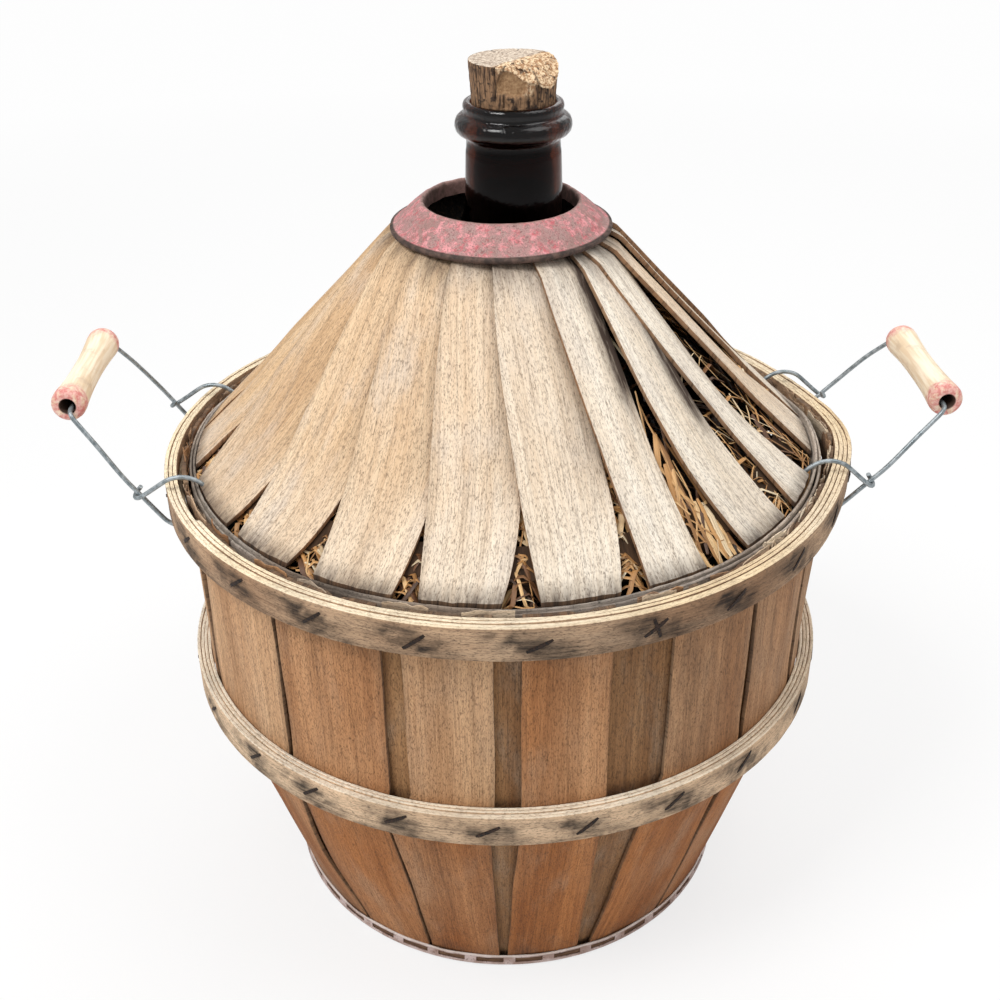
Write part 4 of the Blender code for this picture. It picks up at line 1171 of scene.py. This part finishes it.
def lay_stalks(name, stalks):
    """One mesh of stalks.

    Each is (radius, degrees, heading, length, width, thickness, depth, bow, tone).
    """
    points, faces, tones, grain = [], [], [], []
    for radius, degrees, heading, length, width, thickness, depth, bow, shade in stalks:
        base = len(points)
        centre = around(radius, degrees, 0.0)
        outward = around(1.0, degrees, 0.0)
        sideways = around(1.0, degrees + 90.0, 0.0)
        turn = math.radians(heading)
        along = outward * math.cos(turn) + sideways * math.sin(turn)
        across = Vector((-along.y, along.x, 0.0))
        rings = []
        for ring in range(7):
            share = ring / 6
            spot = centre + along * (share - 0.5) * length + across * bow * (4 * (share - 0.5) ** 2 - 0.5)
            far = min(math.hypot(spot.x, spot.y), 0.1806)
            angle = bearing(spot)
            clear = near_slat(far, angle)
            sunk = depth
            if depth < 0.007:
                sunk = max(depth, 0.0030)
                lift = 0.0006 * random.uniform(-1, 1)
                on_hoop = ease((far - 0.150) / 0.008)
                sunk = lerp(sunk, lerp(0.0016, 0.0003, on_hoop) + lift, ease(clear / 0.0045))
            rings.append(around(far, angle, roof_height(far) - sunk * 1.44))
        for point in stalk_points:
            ring = round(point.x * 6)
            taper = 1.0 - 0.35 * abs(2 * point.x - 1) ** 4
            spot = rings[ring] + across * point.y * width / 2 * taper
            spot.z += point.z * thickness / 2
            points.append(spot)
            tones.append(shade)
            grain.append((point.y * width, point.x * length))
        faces.extend([base + corner for corner in face] for face in stalk_faces)
    mesh = bpy.data.meshes.new(name)
    mesh.from_pydata(points, [], faces)
    mesh.update()
    layer = mesh.uv_layers.new(name="UVMap")
    flat = []
    for loop in mesh.loops:
        u, v = grain[loop.vertex_index]
        shift = loop.vertex_index // len(stalk_points) * 0.37
        flat.extend((u + shift, v + shift))
    layer.data.foreach_set("uv", flat)
    made = bpy.data.objects.new(name, mesh)
    scene.collection.objects.link(made)
    stain_mesh(made, "tone", tones)
    made.data.materials.append(straw_finish)
    smooth(made, 50)
    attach(made, "basket")
    return made


# Between these angles on the right hardly any straw comes up into the gaps, and in one gap it lies
# along the slats.
EMPTY_GAPS = ((49.0, 61.0), (68.0, 81.0))
COMBED_GAP = (31.0, 45.0)
STALK_COUNT, WISP_COUNT = 860, 300
# Fewer stalks than elsewhere between the feet of these slats and the next ones.
TUFTS = {1: 6, 2: 1, 3: 1}
random.seed(5)
stalks, wisps = [], []
while len(stalks) < STALK_COUNT:
    radius = 0.182 * math.sqrt(random.uniform(0.2, 0.97))
    degrees = random.uniform(-180, 180)
    on_top = random.random() < 0.5
    bare = any(low < degrees < high for low, high in EMPTY_GAPS)
    plenty = 0.12 if bare else 0.06 + ease((radius - 0.118) / 0.05)
    if near_slat(radius, degrees) < -0.010 or (on_top and random.random() > plenty):
        continue
    width = random.uniform(0.0011, 0.0026)
    heading = random.gauss(70, 26) if random.random() < 0.55 else random.uniform(0, 180)
    if on_top and COMBED_GAP[0] < degrees < COMBED_GAP[1]:
        heading = random.gauss(2, 20)
    # Stalks deep in the bed get dark tones, as painted shade; those on top get mid to pale tones.
    stalks.append((
        radius, degrees, heading, random.uniform(0.026, 0.064), width, width * random.uniform(0.28, 0.55),
        random.uniform(0.0030, 0.0068) if on_top else random.uniform(0.0095, 0.0195),
        random.uniform(-0.0015, 0.0015),
        clamp(random.gauss(0.54, 0.26) if on_top else random.gauss(0.11, 0.10)),
    ))
for number in range(20):
    for count in range(TUFTS.get(number, 17)):
        radius = 0.178 - 0.042 * random.random()
        line = slat_lines[number + 1]
        following = slat_lines[(number + 1) % 20 + 1]
        left = through_three(radius, *line[3:])
        right = through_three(radius, *following[:3])
        right += 360 if right < left - 90 else 0
        stalks.append((
            radius, random.uniform(left, right),
            random.gauss(5, 20) if number == 1 else random.gauss(72, 36),
            random.uniform(0.016, 0.036), random.uniform(0.0018, 0.0034), 0.0009, 0.0035,
            random.uniform(-0.001, 0.001), clamp(random.gauss(0.58, 0.19), 0.22, 1),
        ))
# Broad blades that lie along the slats in the combed gap.
for degrees, width, shade in (
    (36.1, 0.0040, 0.85), (37.3, 0.0026, 0.62), (38.4, 0.0034, 0.95), (39.3, 0.0030, 0.78),
    (35.2, 0.0020, 0.5),
):
    stalks.append((0.1685, degrees, random.uniform(-6, 6), 0.024, width, 0.0010, 0.003, 0.0005, shade))
while len(wisps) < WISP_COUNT:
    radius = 0.181 * math.sqrt(random.uniform(0.22, 0.985))
    degrees = random.uniform(-180, 180)
    if near_slat(radius, degrees) < -0.006 or random.random() > 0.15 + ease((radius - 0.11) / 0.05):
        continue
    wisps.append((
        radius, degrees, random.uniform(0, 180), random.uniform(0.014, 0.044),
        random.uniform(0.0005, 0.0010), 0.0005, random.uniform(0.0025, 0.0095),
        random.uniform(-0.007, 0.007), random.uniform(0.45, 1.0),
    ))
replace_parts(lay_stalks("straw_stalks", stalks), "straw_packing")
lay_stalks("straw_wisps", wisps)


# Collar. A ring pressed from thin sheet, with a rolled rim and a flange in its hole, laid over the
# slats' tops. Its red paint has worn to pink patches over grey-brown rust; the rim is bare.
BEAD_R, BEAD_Z, BEAD_ROUND = 0.0593, 0.4285, 0.0019
bead = []
for degrees in range(150, 391, 30):
    turn = math.radians(degrees)
    bead.append((BEAD_R + BEAD_ROUND * math.cos(turn), BEAD_Z + BEAD_ROUND * math.sin(turn)))
outline = bead + [
    (0.0585, 0.43035), (0.0572, 0.4311), (0.0553, 0.4330), (0.0530, 0.4354), (0.0505, 0.4378),
    (0.0482, 0.4398), (0.0463, 0.4413), (0.0448, 0.4424), (0.0436, 0.4429), (0.0427, 0.4427),
    (0.0421, 0.4419), (0.0420, 0.4405), (0.0420, 0.4370), (0.0421, 0.4345), (0.0430, 0.4345),
    (0.0430, 0.4370), (0.0430, 0.4403), (0.0437, 0.4414), (0.0450, 0.4409), (0.0475, 0.4389),
    (0.0500, 0.4367), (0.0525, 0.4343), (0.0550, 0.4317), (0.0565, 0.4300),
]
pressed_ring = turned("pressed_collar", outline, 200)
for vertex in pressed_ring.data.vertices:
    angle = math.atan2(vertex.co.x, -vertex.co.y)
    radius = math.hypot(vertex.co.x, vertex.co.y)
    inner = ease((0.058 - radius) / 0.014)
    dent = round_noise(angle, 2.2, 1.0)
    fine = round_noise(angle, 9, radius * 60)
    scale = 1 + inner * (0.0010 * dent + 0.0003 * fine) / radius
    widen(vertex, scale)
    vertex.co.z += inner * (0.0005 * dent + 0.00025 * fine) - 0.0003 * inner
smooth(pressed_ring, 60)

collar_paint = new_finish("worn_red_paint", 0.72)
distance = polar()[1]
sand = speckle(900.0, 3.0, 0.6)
mottle = speckle(260.0, 5.0, 0.6)
patch = speckle(150.0, 9.0, 0.80)
shade = speckle(38.0, 3.0, 0.6)
rust = mixed(ramp(sand, 0.36, 0.60), (0.15, 0.095, 0.082), (0.52, 0.375, 0.34))
rust = mixed(ramp(mottle, 0.4, 0.65, 0.0, 0.6), rust, (0.40, 0.19, 0.18))
rust = mixed(ramp(shade, 0.45, 0.65, 0.0, 0.5), rust, (0.24, 0.15, 0.12))
pink = mixed(ramp(mottle, 0.36, 0.60), (0.54, 0.115, 0.13), (0.76, 0.32, 0.33))
colour = mixed(ramp(patch, 0.46, 0.58, 0.12, 0.92), rust, pink)
colour = mixed(ramp(sand, 0.50, 0.62, 0.0, 0.62), colour, (0.15, 0.08, 0.07))
bare = mixed(ramp(mottle, 0.35, 0.7), (0.034, 0.020, 0.015), (0.12, 0.070, 0.052))
colour = mixed(ramp(distance, 0.0587, 0.0598), colour, bare)
flange = mixed(ramp(mottle, 0.35, 0.7), (0.20, 0.12, 0.10), (0.42, 0.24, 0.21))
colour = mixed(ramp(distance, 0.0432, 0.0446, 1.0, 0.0), colour, flange)
feed(shader["Base Color"], colour)
bumped(mixed(0.5, sand, mottle), 0.0005, 0.8)
pressed_ring.data.materials.append(collar_paint)
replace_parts(pressed_ring, "neck_collar")
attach(pressed_ring, "basket")

shaded_steel = new_finish("rusty_steel", 0.7)
rust = mixed(ramp(speckle(300.0, 5.0, 0.6), 0.35, 0.65), (0.10, 0.05, 0.03), (0.26, 0.15, 0.10))
feed(shader["Base Color"], rust)
refinish("collar_backing_ring", shaded_steel)


# Bottle. Blown in a mould from dark amber glass, with a rounded lip over a ring on the neck, a
# mould seam up its side and a fine step round the neck. It stands a little to the right.
BOTTLE_X = 0.007
WALL = 0.004
SEAM, SEAM_WIDTH, SEAM_PROUD = math.radians(20.0), math.radians(1.4), 0.00028
SEAM_FOOT_Z, SEAM_TOP_Z = 0.40, 0.4695
# The glass outside this radius and above this height is a little uneven, by so much.
UNEVEN_R, UNEVEN_Z, UNEVEN = 0.0240, 0.30, 0.00012


def shoulder_point(share):
    """Smooth curve from the body over the shoulder to the neck."""
    controls = ((0.166, 0.2149), (0.166, 0.3274), (0.040, 0.3769), (0.0262, 0.4399))
    weights = ((1 - share) ** 3, 3 * share * (1 - share) ** 2, 3 * share ** 2 * (1 - share), share ** 3)
    radius = sum(weight * control[0] for weight, control in zip(weights, controls))
    return radius, sum(weight * control[1] for weight, control in zip(weights, controls))


outer = [
    (0.0, 0.0329), (0.06, 0.0300), (0.10, 0.0200), (0.108, 0.0189), (0.116, 0.0200), (0.1185, 0.0230),
    (0.1200, 0.0290), (0.162, 0.1499), (0.1652, 0.170), (0.166, 0.190),
]
outer += [shoulder_point(step / 20) for step in range(21)]
outer += [
    (0.0264, 0.4480), (0.0260, 0.4590), (0.0257, 0.4675), (0.0255, 0.4697), (0.0253, 0.4701),
    (0.0252, 0.4737), (0.0253, 0.4755), (0.0259, 0.4768), (0.0275, 0.4776), (0.0295, 0.4787),
    (0.0308, 0.4803), (0.0313, 0.4825), (0.0311, 0.4845), (0.0304, 0.4863), (0.0291, 0.4876),
    (0.0277, 0.4883), (0.0268, 0.4888), (0.0265, 0.4896), (0.0266, 0.4908), (0.0269, 0.4921),
    (0.0268, 0.4934), (0.0262, 0.4946), (0.0251, 0.4953), (0.0239, 0.4954), (0.0229, 0.4949),
    (0.0224, 0.4940),
]
bore = [
    (0.0223, 0.4928), (0.0218, 0.4850), (0.0213, 0.4780), (0.0207, 0.4695), (0.0210, 0.4660),
    (0.0217, 0.4600), (0.0220, 0.4440),
]
inner = [(0.0222, 0.4399)]
for step in range(19, -1, -1):
    radius, height = shoulder_point(step / 20)
    inner.append((radius - WALL, height - WALL * 0.4 * step / 20))
inner += [
    (0.162, 0.190), (0.1612, 0.170), (0.158, 0.1499), (0.1165, 0.0300), (0.112, 0.0260), (0.100, 0.0255),
    (0.06, 0.0350), (0.0, 0.0375),
]
profile = outer + bore + inner
glass = turned("amber_bottle", profile, 144, on_axis=True)
for vertex in glass.data.vertices:
    radius = math.hypot(vertex.co.x, vertex.co.y)
    outside = radius > UNEVEN_R and vertex.co.z > UNEVEN_Z
    angle = math.atan2(vertex.co.x, -vertex.co.y)
    from_seam = abs((angle - SEAM + math.pi / 2) % math.pi - math.pi / 2)
    seam = outside and SEAM_FOOT_Z < vertex.co.z < SEAM_TOP_Z and from_seam < SEAM_WIDTH
    blown = UNEVEN * noise.noise(vertex.co * 55) if outside else 0.0
    if radius > 0.001:
        widen(vertex, 1 + (blown + (SEAM_PROUD if seam else 0.0)) / radius)
    vertex.co.x += BOTTLE_X
smooth(glass, 60)
amber = new_finish("dark_glass", 0.04)
feed(shader["Transmission Weight"], 1.0)
feed(shader["IOR"], 1.24)
feed(shader["Coat Roughness"], 0.09)
height = polar()[2]
feed(shader["Coat Weight"], ramp(height, 0.4745, 0.4770, 0.0, 0.45))
ream = speckle(60.0, 3.0)
feed(shader["Base Color"], mixed(ramp(ream, 0.3, 0.7), (0.034, 0.007, 0.003), (0.065, 0.014, 0.004)))
feed(shader["Roughness"], ramp(ream, 0.5, 0.75, 0.03, 0.12))
waves = mixed(0.25, ream, speckle(420.0, 2.0))
waves = mixed(ramp(height, 0.4735, 0.4765, 0.12, 1.0), (0.5, 0.5, 0.5), waves)
bumped(waves, 0.0050, 0.5)
glass.data.materials.append(amber)
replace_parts(glass, "glass_bottle")
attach(glass, "basket")


# Cork. A tapered stopper cut from bark, pushed half into the neck. Its top is broken off to the
# right with a pale crumbly face, a chip has left a smooth hollow in front, and cracks run down it.
CORK_FOOT_Z, CORK_TOP_Z = 0.4684, 0.5167
# Its radius at the bottle's lip, and how it widens above it.
LIP_Z, CORK_LIP_R, CORK_TAPER = 0.4954, 0.02215, 0.065
# The cork shows above the lip. Its break slopes down towards this side, by so much at the edge.
CORK_SHOWS_Z = 0.4960
BREAK_TOWARDS_X, BREAK_TOWARDS_Y, BREAK_DROP = 0.77, -0.64, 0.0105
# The hollow in front: its middle, its half width in degrees, its half height and its depth.
HOLLOW_ANGLE, HOLLOW_Z, HOLLOW_WIDE, HOLLOW_HIGH, HOLLOW_DEEP = -4.0, 0.5082, 25.0, 0.0078, 0.0022
CRACK_DEEP = 0.0011
# Angle of each crack and its width, both in degrees.
CORK_CRACKS = (
    (-27.0, 0.5), (-15.0, 0.9), (17.5, 0.8), (33.0, 1.0), (70.0, 0.7), (128.0, 0.9), (171.0, 0.6),
    (-150.0, 0.9), (-96.0, 0.7), (-58.0, 0.5),
)


def cork_radius(z):
    return CORK_LIP_R + (z - LIP_Z) * CORK_TAPER


outline = [(0.0, CORK_FOOT_Z), (0.010, CORK_FOOT_Z), (cork_radius(CORK_FOOT_Z) - 0.0008, CORK_FOOT_Z)]
levels = [lerp(CORK_FOOT_Z + 0.0008, 0.4945, step / 6) for step in range(7)]
levels += [lerp(0.4955, CORK_TOP_Z - 0.0006, step / 38) for step in range(39)]
outline += [(cork_radius(z), z) for z in levels]
outline += [(cork_radius(CORK_TOP_Z) - 0.0004, CORK_TOP_Z - 0.0002)]
outline += [(lerp(cork_radius(CORK_TOP_Z) - 0.0012, 0.0, step / 26), CORK_TOP_Z) for step in range(27)]
cork = turned("cork_stopper_bark", outline, 216, on_axis=True)
broken, cracked, chipped = [], [], []
for vertex in cork.data.vertices:
    x, y, z = vertex.co
    radius, degrees = math.hypot(x, y), bearing(vertex.co)
    crumb = noise.fractal(vertex.co * 380, 0.9, 2.0, 4)
    toward = x * BREAK_TOWARDS_X + y * BREAK_TOWARDS_Y
    toward += 0.0022 * ripple(degrees * 0.05, radius * 160, 4)
    slide = max(toward - 0.001, 0.0) / 0.022
    limit = CORK_TOP_Z - BREAK_DROP * slide ** 2.6 - 0.0003
    limit += 0.0010 * crumb * ease(slide / 0.25) - 0.00025 * abs(crumb) * (1 - ease(slide / 0.25))
    fresh = 0.0
    if z > limit:
        fresh = ease((slide - 0.06) / 0.12)
        z = limit
    crack = hollow = 0.0
    if radius > 0.018 and z > CORK_SHOWS_Z:
        spot_u = (degrees - HOLLOW_ANGLE) / HOLLOW_WIDE
        spot_v = (z - HOLLOW_Z - degrees * 0.00003) / HOLLOW_HIGH
        away_spot = math.hypot(spot_u, spot_v) + 0.26 * ripple(degrees * 0.09, z * 190, 2)
        hollow = 1 - ease((away_spot - 0.70) / 0.22)
        crumbly = ease(1 - abs(away_spot - 1.08) / 0.40) * ease((spot_u + 0.35 + spot_v * 0.9) / 0.7)
        grooves = 0.00022 * ripple(degrees * 0.55, z * 25, 6) + 0.00018 * crumb
        inward = HOLLOW_DEEP * hollow - grooves * (1 - hollow) + 0.0005 * max(0.0, crumb) * crumbly
        inward += 0.0010 * ease((0.5030 - z) / 0.005) * max(0.0, ripple(degrees * 0.22, z * 230, 9))
        for crack_at, width in CORK_CRACKS:
            away = abs(past(degrees - crack_at, 2.2 * ripple(z * 90, crack_at, 3)))
            reach = 0.75 + 0.7 * ripple(z * 130, crack_at, 5)
            crack = max(crack, (1 - ease(away / (2.2 * width))) * reach * (1 - hollow))
        inward += CRACK_DEEP * max(crack, 0.0)
        x, y = x * (radius - inward) / radius, y * (radius - inward) / radius
        near_break = 1 - ease((limit - z - 0.0004) / 0.0012)
        along_break = near_break * ease((slide - 0.1) / 0.2) * (0.6 + crumb)
        fresh = max(fresh, along_break, 0.95 * crumbly * (0.8 + crumb))
    cracked.append(clamp(crack))
    chipped.append(hollow)
    broken.append(clamp(fresh))
    vertex.co = (x + BOTTLE_X, y, min(z, CORK_TOP_Z))
for name, values in (("broken", broken), ("cracked", cracked), ("chipped", chipped)):
    stain_mesh(cork, name, values)
smooth(cork, 35)
cork_finish = new_finish("cork", 0.9)
crumbs = speckle(700.0, 5.0, 0.7)
pits = speckle(330.0, 4.0, 0.6)
rings = node("ShaderNodeMapping", {"Scale": (760.0, 760.0, 120.0), "Vector": object_point()})
lines = speckle(1.0, 5.0, 0.5, rings.outputs[0])
side = mixed(ramp(lines, 0.34, 0.62), (0.040, 0.020, 0.011), (0.29, 0.165, 0.086))
side = mixed(ramp(pits, 0.53, 0.64, 0.0, 0.9), side, (0.022, 0.012, 0.008))
fresh_face = mixed(ramp(crumbs, 0.42, 0.58), (0.36, 0.18, 0.08), (0.86, 0.66, 0.43))
fresh_face = mixed(ramp(pits, 0.57, 0.64, 0.0, 0.9), fresh_face, (0.07, 0.035, 0.02))
smooth_bark = mixed(ramp(crumbs, 0.35, 0.65), (0.24, 0.13, 0.06), (0.40, 0.245, 0.125))
side = mixed(attribute("chipped"), side, smooth_bark)
top = mixed(ramp(crumbs, 0.38, 0.62), (0.32, 0.23, 0.17), (0.76, 0.65, 0.52))
top = mixed(ramp(pits, 0.60, 0.70, 0.0, 0.7), top, (0.12, 0.08, 0.06))
facing = node("ShaderNodeNewGeometry").outputs["True Normal"]
facing = node("ShaderNodeSeparateXYZ", {0: facing}).outputs["Z"]
height = polar()[2]
upward = times(ramp(facing, 0.45, 0.7), ramp(height, 0.5095, 0.5110))
colour = mixed(upward, side, top)
colour = mixed(attribute("broken"), colour, fresh_face)
colour = mixed(attribute("cracked"), colour, (0.018, 0.010, 0.007))
feed(shader["Base Color"], colour)
bumped(mixed(0.5, crumbs, pits), 0.0009, 1.0)
cork.data.materials.append(cork_finish)
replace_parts(cork, "cork_stopper")
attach(cork, "cork")


# Bails and grips. Each bail is one galvanised wire: it runs through the turned grip, down both
# legs, right round the rim in an eye, and its tail is hooked round the leg.
WIRE_R = 0.0013
HINGE_X, HINGE_Z = 0.181972, 0.28975
# Radius of the eyes, their distance from the bail's middle, and how far they step aside in one turn.
EYE_R, EYE_SPAN, EYE_STEP = 0.01677, 0.05703, 0.0029
REACH, STRAIGHT, BEND = 0.076, 0.032, 0.006
GRIP_BORE_R, HALF_GRIP = 0.0042, 0.045

wire_finish = new_finish("galvanised_wire", 0.42)
spangle = speckle(240.0, 4.0, 0.6)
colour = mixed(ramp(spangle, 0.35, 0.65), (0.20, 0.235, 0.25), (0.42, 0.46, 0.48))
dust = speckle(900.0, 2.0, 0.6)
colour = mixed(ramp(dust, 0.60, 0.72, 0.0, 0.7), colour, (0.12, 0.10, 0.085))
feed(shader["Base Color"], colour)
feed(shader["Metallic"], 0.65)
feed(shader["Roughness"], ramp(spangle, 0.3, 0.7, 0.32, 0.60))
bumped(spangle, 0.0003, 0.5)


def smooth_line(points, steps=5):
    """Points on a smooth curve through the given ones."""
    line = []
    for count in range(len(points) - 1):
        before = points[max(count - 1, 0)]
        start, end = points[count], points[count + 1]
        after = points[min(count + 2, len(points) - 1)]
        for step in range(steps):
            t = step / steps
            line.append(
                0.5 * ((2 * start) + (end - before) * t + (2 * before - 5 * start + 4 * end - after) * t * t
                       + (3 * start - before - 3 * end + after) * t * t * t)
            )
    line.append(points[-1])
    return line


def bail_spot(point, sign, lean):
    """A point of the bail as drawn with its legs level, put up at its angle on its side."""
    turn = math.radians(lean)
    x = point.x * math.cos(turn) - point.z * math.sin(turn)
    z = point.x * math.sin(turn) + point.z * math.cos(turn)
    return Vector((sign * (HINGE_X + x), sign * point.y, HINGE_Z + z))


def wire_bail(name, sign, lean, seed):
    half = [
        (REACH, 0.0, -EYE_R), (REACH, 0.030, -EYE_R), (REACH, 0.0445, -EYE_R),
        (REACH - 0.0006, 0.0474, -EYE_R), (REACH - 0.0024, 0.0492, -EYE_R), (REACH - BEND, 0.0504, -EYE_R),
        (0.054, 0.0537, -EYE_R + 0.0005),
        (STRAIGHT, EYE_SPAN, -EYE_R), (STRAIGHT / 2, EYE_SPAN, -EYE_R),
    ]
    for step in range(19):
        turn = math.radians(-90 - 270 * step / 18)
        half.append((EYE_R * math.cos(turn), EYE_SPAN + EYE_STEP * step / 18, EYE_R * math.sin(turn)))
    side = EYE_SPAN + EYE_STEP
    half += [
        (EYE_R + 0.0002, side, -EYE_R * 0.55), (EYE_R + 0.0005, side, -EYE_R + 0.0008),
        (EYE_R + 0.0012, side - 0.0009, -EYE_R - 0.0021), (EYE_R + 0.0019, EYE_SPAN, -EYE_R - 0.0029),
        (EYE_R + 0.0026, EYE_SPAN - 0.0022, -EYE_R - 0.0018),
        (EYE_R + 0.0032, EYE_SPAN - 0.0030, -EYE_R + 0.0006),
        (EYE_R + 0.0037, EYE_SPAN - 0.0027, -EYE_R + 0.0024),
    ]
    half = [Vector(point) for point in half]
    bent = []
    for point in half:
        share = ease((REACH - 0.008 - point.x) / 0.01) * ease((point.x - 0.024) / 0.01)
        aside, up = 0.0006 * ripple(point.x * 60, 0.0, seed), 0.0009 * ripple(point.x * 50, 3.0, seed)
        bent.append(point + Vector((0.0, aside, up)) * (share if point.z > -0.0175 else 0.0))
    far = [Vector((point.x, -point.y, point.z)) for point in half]
    line = smooth_line(list(reversed(bent)) + far[1:])
    curve = bpy.data.curves.new(name, "CURVE")
    curve.dimensions = "3D"
    curve.bevel_depth = WIRE_R
    curve.bevel_resolution = 3
    curve.use_fill_caps = True
    spline = curve.splines.new("POLY")
    spline.points.add(len(line) - 1)
    for target, point in zip(spline.points, line):
        target.co = (*bail_spot(point, sign, lean), 1.0)
    made = bpy.data.objects.new(name, curve)
    scene.collection.objects.link(made)
    select_only(made)
    bpy.ops.object.convert(target="MESH")
    made = bpy.context.object
    smooth(made, 60)
    made.data.materials.append(wire_finish)
    return made


def turned_grip(name, centre, finish):
    end = -HALF_GRIP
    outline = [(GRIP_BORE_R, end + 0.0012), (GRIP_BORE_R + 0.0006, end + 0.0002), (0.0066, end)]
    outline += [(0.0080, end + 0.0004), (0.0091, end + 0.0015), (0.00955, end + 0.0034)]
    outline.append((0.0096, end + 0.0060))
    for step in range(-10, 11):
        share = step / 10
        swell = abs(share) ** 2.2
        outline.append((lerp(0.0080, 0.0095, swell), share * 0.0365))
    outline += [(radius, -height) for radius, height in reversed(outline[:7])]
    outline += [(GRIP_BORE_R, height) for height in (0.030, 0.010, -0.010, -0.030)]
    made = turned(name, outline, 48, (0, 1, 0))
    for vertex in made.data.vertices:
        worn = 1 - 0.00010 * (1 + noise.noise(vertex.co * 90)) / 0.009
        vertex.co.x = vertex.co.x * worn + centre[0]
        vertex.co.z = vertex.co.z * worn + centre[2]
    smooth(made, 45)
    made.data.materials.append(finish)
    return made


def grip_finish(name, centre):
    """Turned beech, cream and a little grey with handling; both ends were dipped in red paint."""
    made = new_finish(name, 0.6)
    middle = {"Location": (-centre[0], 0.0, -centre[2]), "Vector": object_point()}
    place = node("ShaderNodeMapping", middle).outputs[0]
    long_grain = node("ShaderNodeMapping", {"Scale": (420.0, 26.0, 420.0), "Vector": place})
    grain = speckle(1.0, 5.0, 0.5, long_grain.outputs[0])
    blotches = speckle(110.0, 6.0, 0.6, place)
    colour = mixed(ramp(grain, 0.35, 0.65), (0.78, 0.60, 0.40), (0.95, 0.83, 0.65))
    colour = mixed(ramp(blotches, 0.54, 0.72, 0.0, 0.4), colour, (0.52, 0.38, 0.27))
    split = node("ShaderNodeSeparateXYZ", {0: place}).outputs
    far = node("ShaderNodeMath", {0: split["Y"]}, operation="ABSOLUTE").outputs[0]
    ragged = node("ShaderNodeMath", {0: blotches, 1: 0.010, 2: far}, operation="MULTIPLY_ADD").outputs[0]
    paint = mixed(ramp(speckle(420.0, 4.0, 0.6, place), 0.4, 0.6), (0.62, 0.17, 0.16), (0.78, 0.42, 0.37))
    patchy = ramp(speckle(260.0, 5.0, 0.6, place), 0.36, 0.52, 0.25, 0.9)
    colour = mixed(times(ramp(ragged, 0.0385, 0.0450), patchy), colour, paint)
    flat = node("ShaderNodeCombineXYZ", {"X": split["X"], "Z": split["Z"]}).outputs[0]
    reach = node("ShaderNodeVectorMath", {0: flat}, operation="LENGTH").outputs["Value"]
    # Inside the bore and round its mouth the wood is near black: painted shade.
    colour = mixed(ramp(reach, 0.0044, 0.0052, 1.0, 0.0), colour, (0.06, 0.03, 0.02))
    feed(shader["Base Color"], colour)
    bumped(grain, 0.0003, 0.5)
    return made


for side, sign, lean, centre in (
    ("left", -1, 55.0, (-0.240762, 0.0, 0.344475)),
    ("right", 1, 46.0, (0.248599, 0.0, 0.334604)),
):
    wire = wire_bail(f"{side}_wire", sign, lean, 3 + sign)
    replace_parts(wire, f"{side}_bail_wire")
    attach(wire, f"{side}_bail")
    handle = turned_grip(f"{side}_turned_grip", centre, grip_finish(f"{side}_grip_wood", centre))
    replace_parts(handle, f"{side}_grip")
    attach(handle, f"{side}_grip")
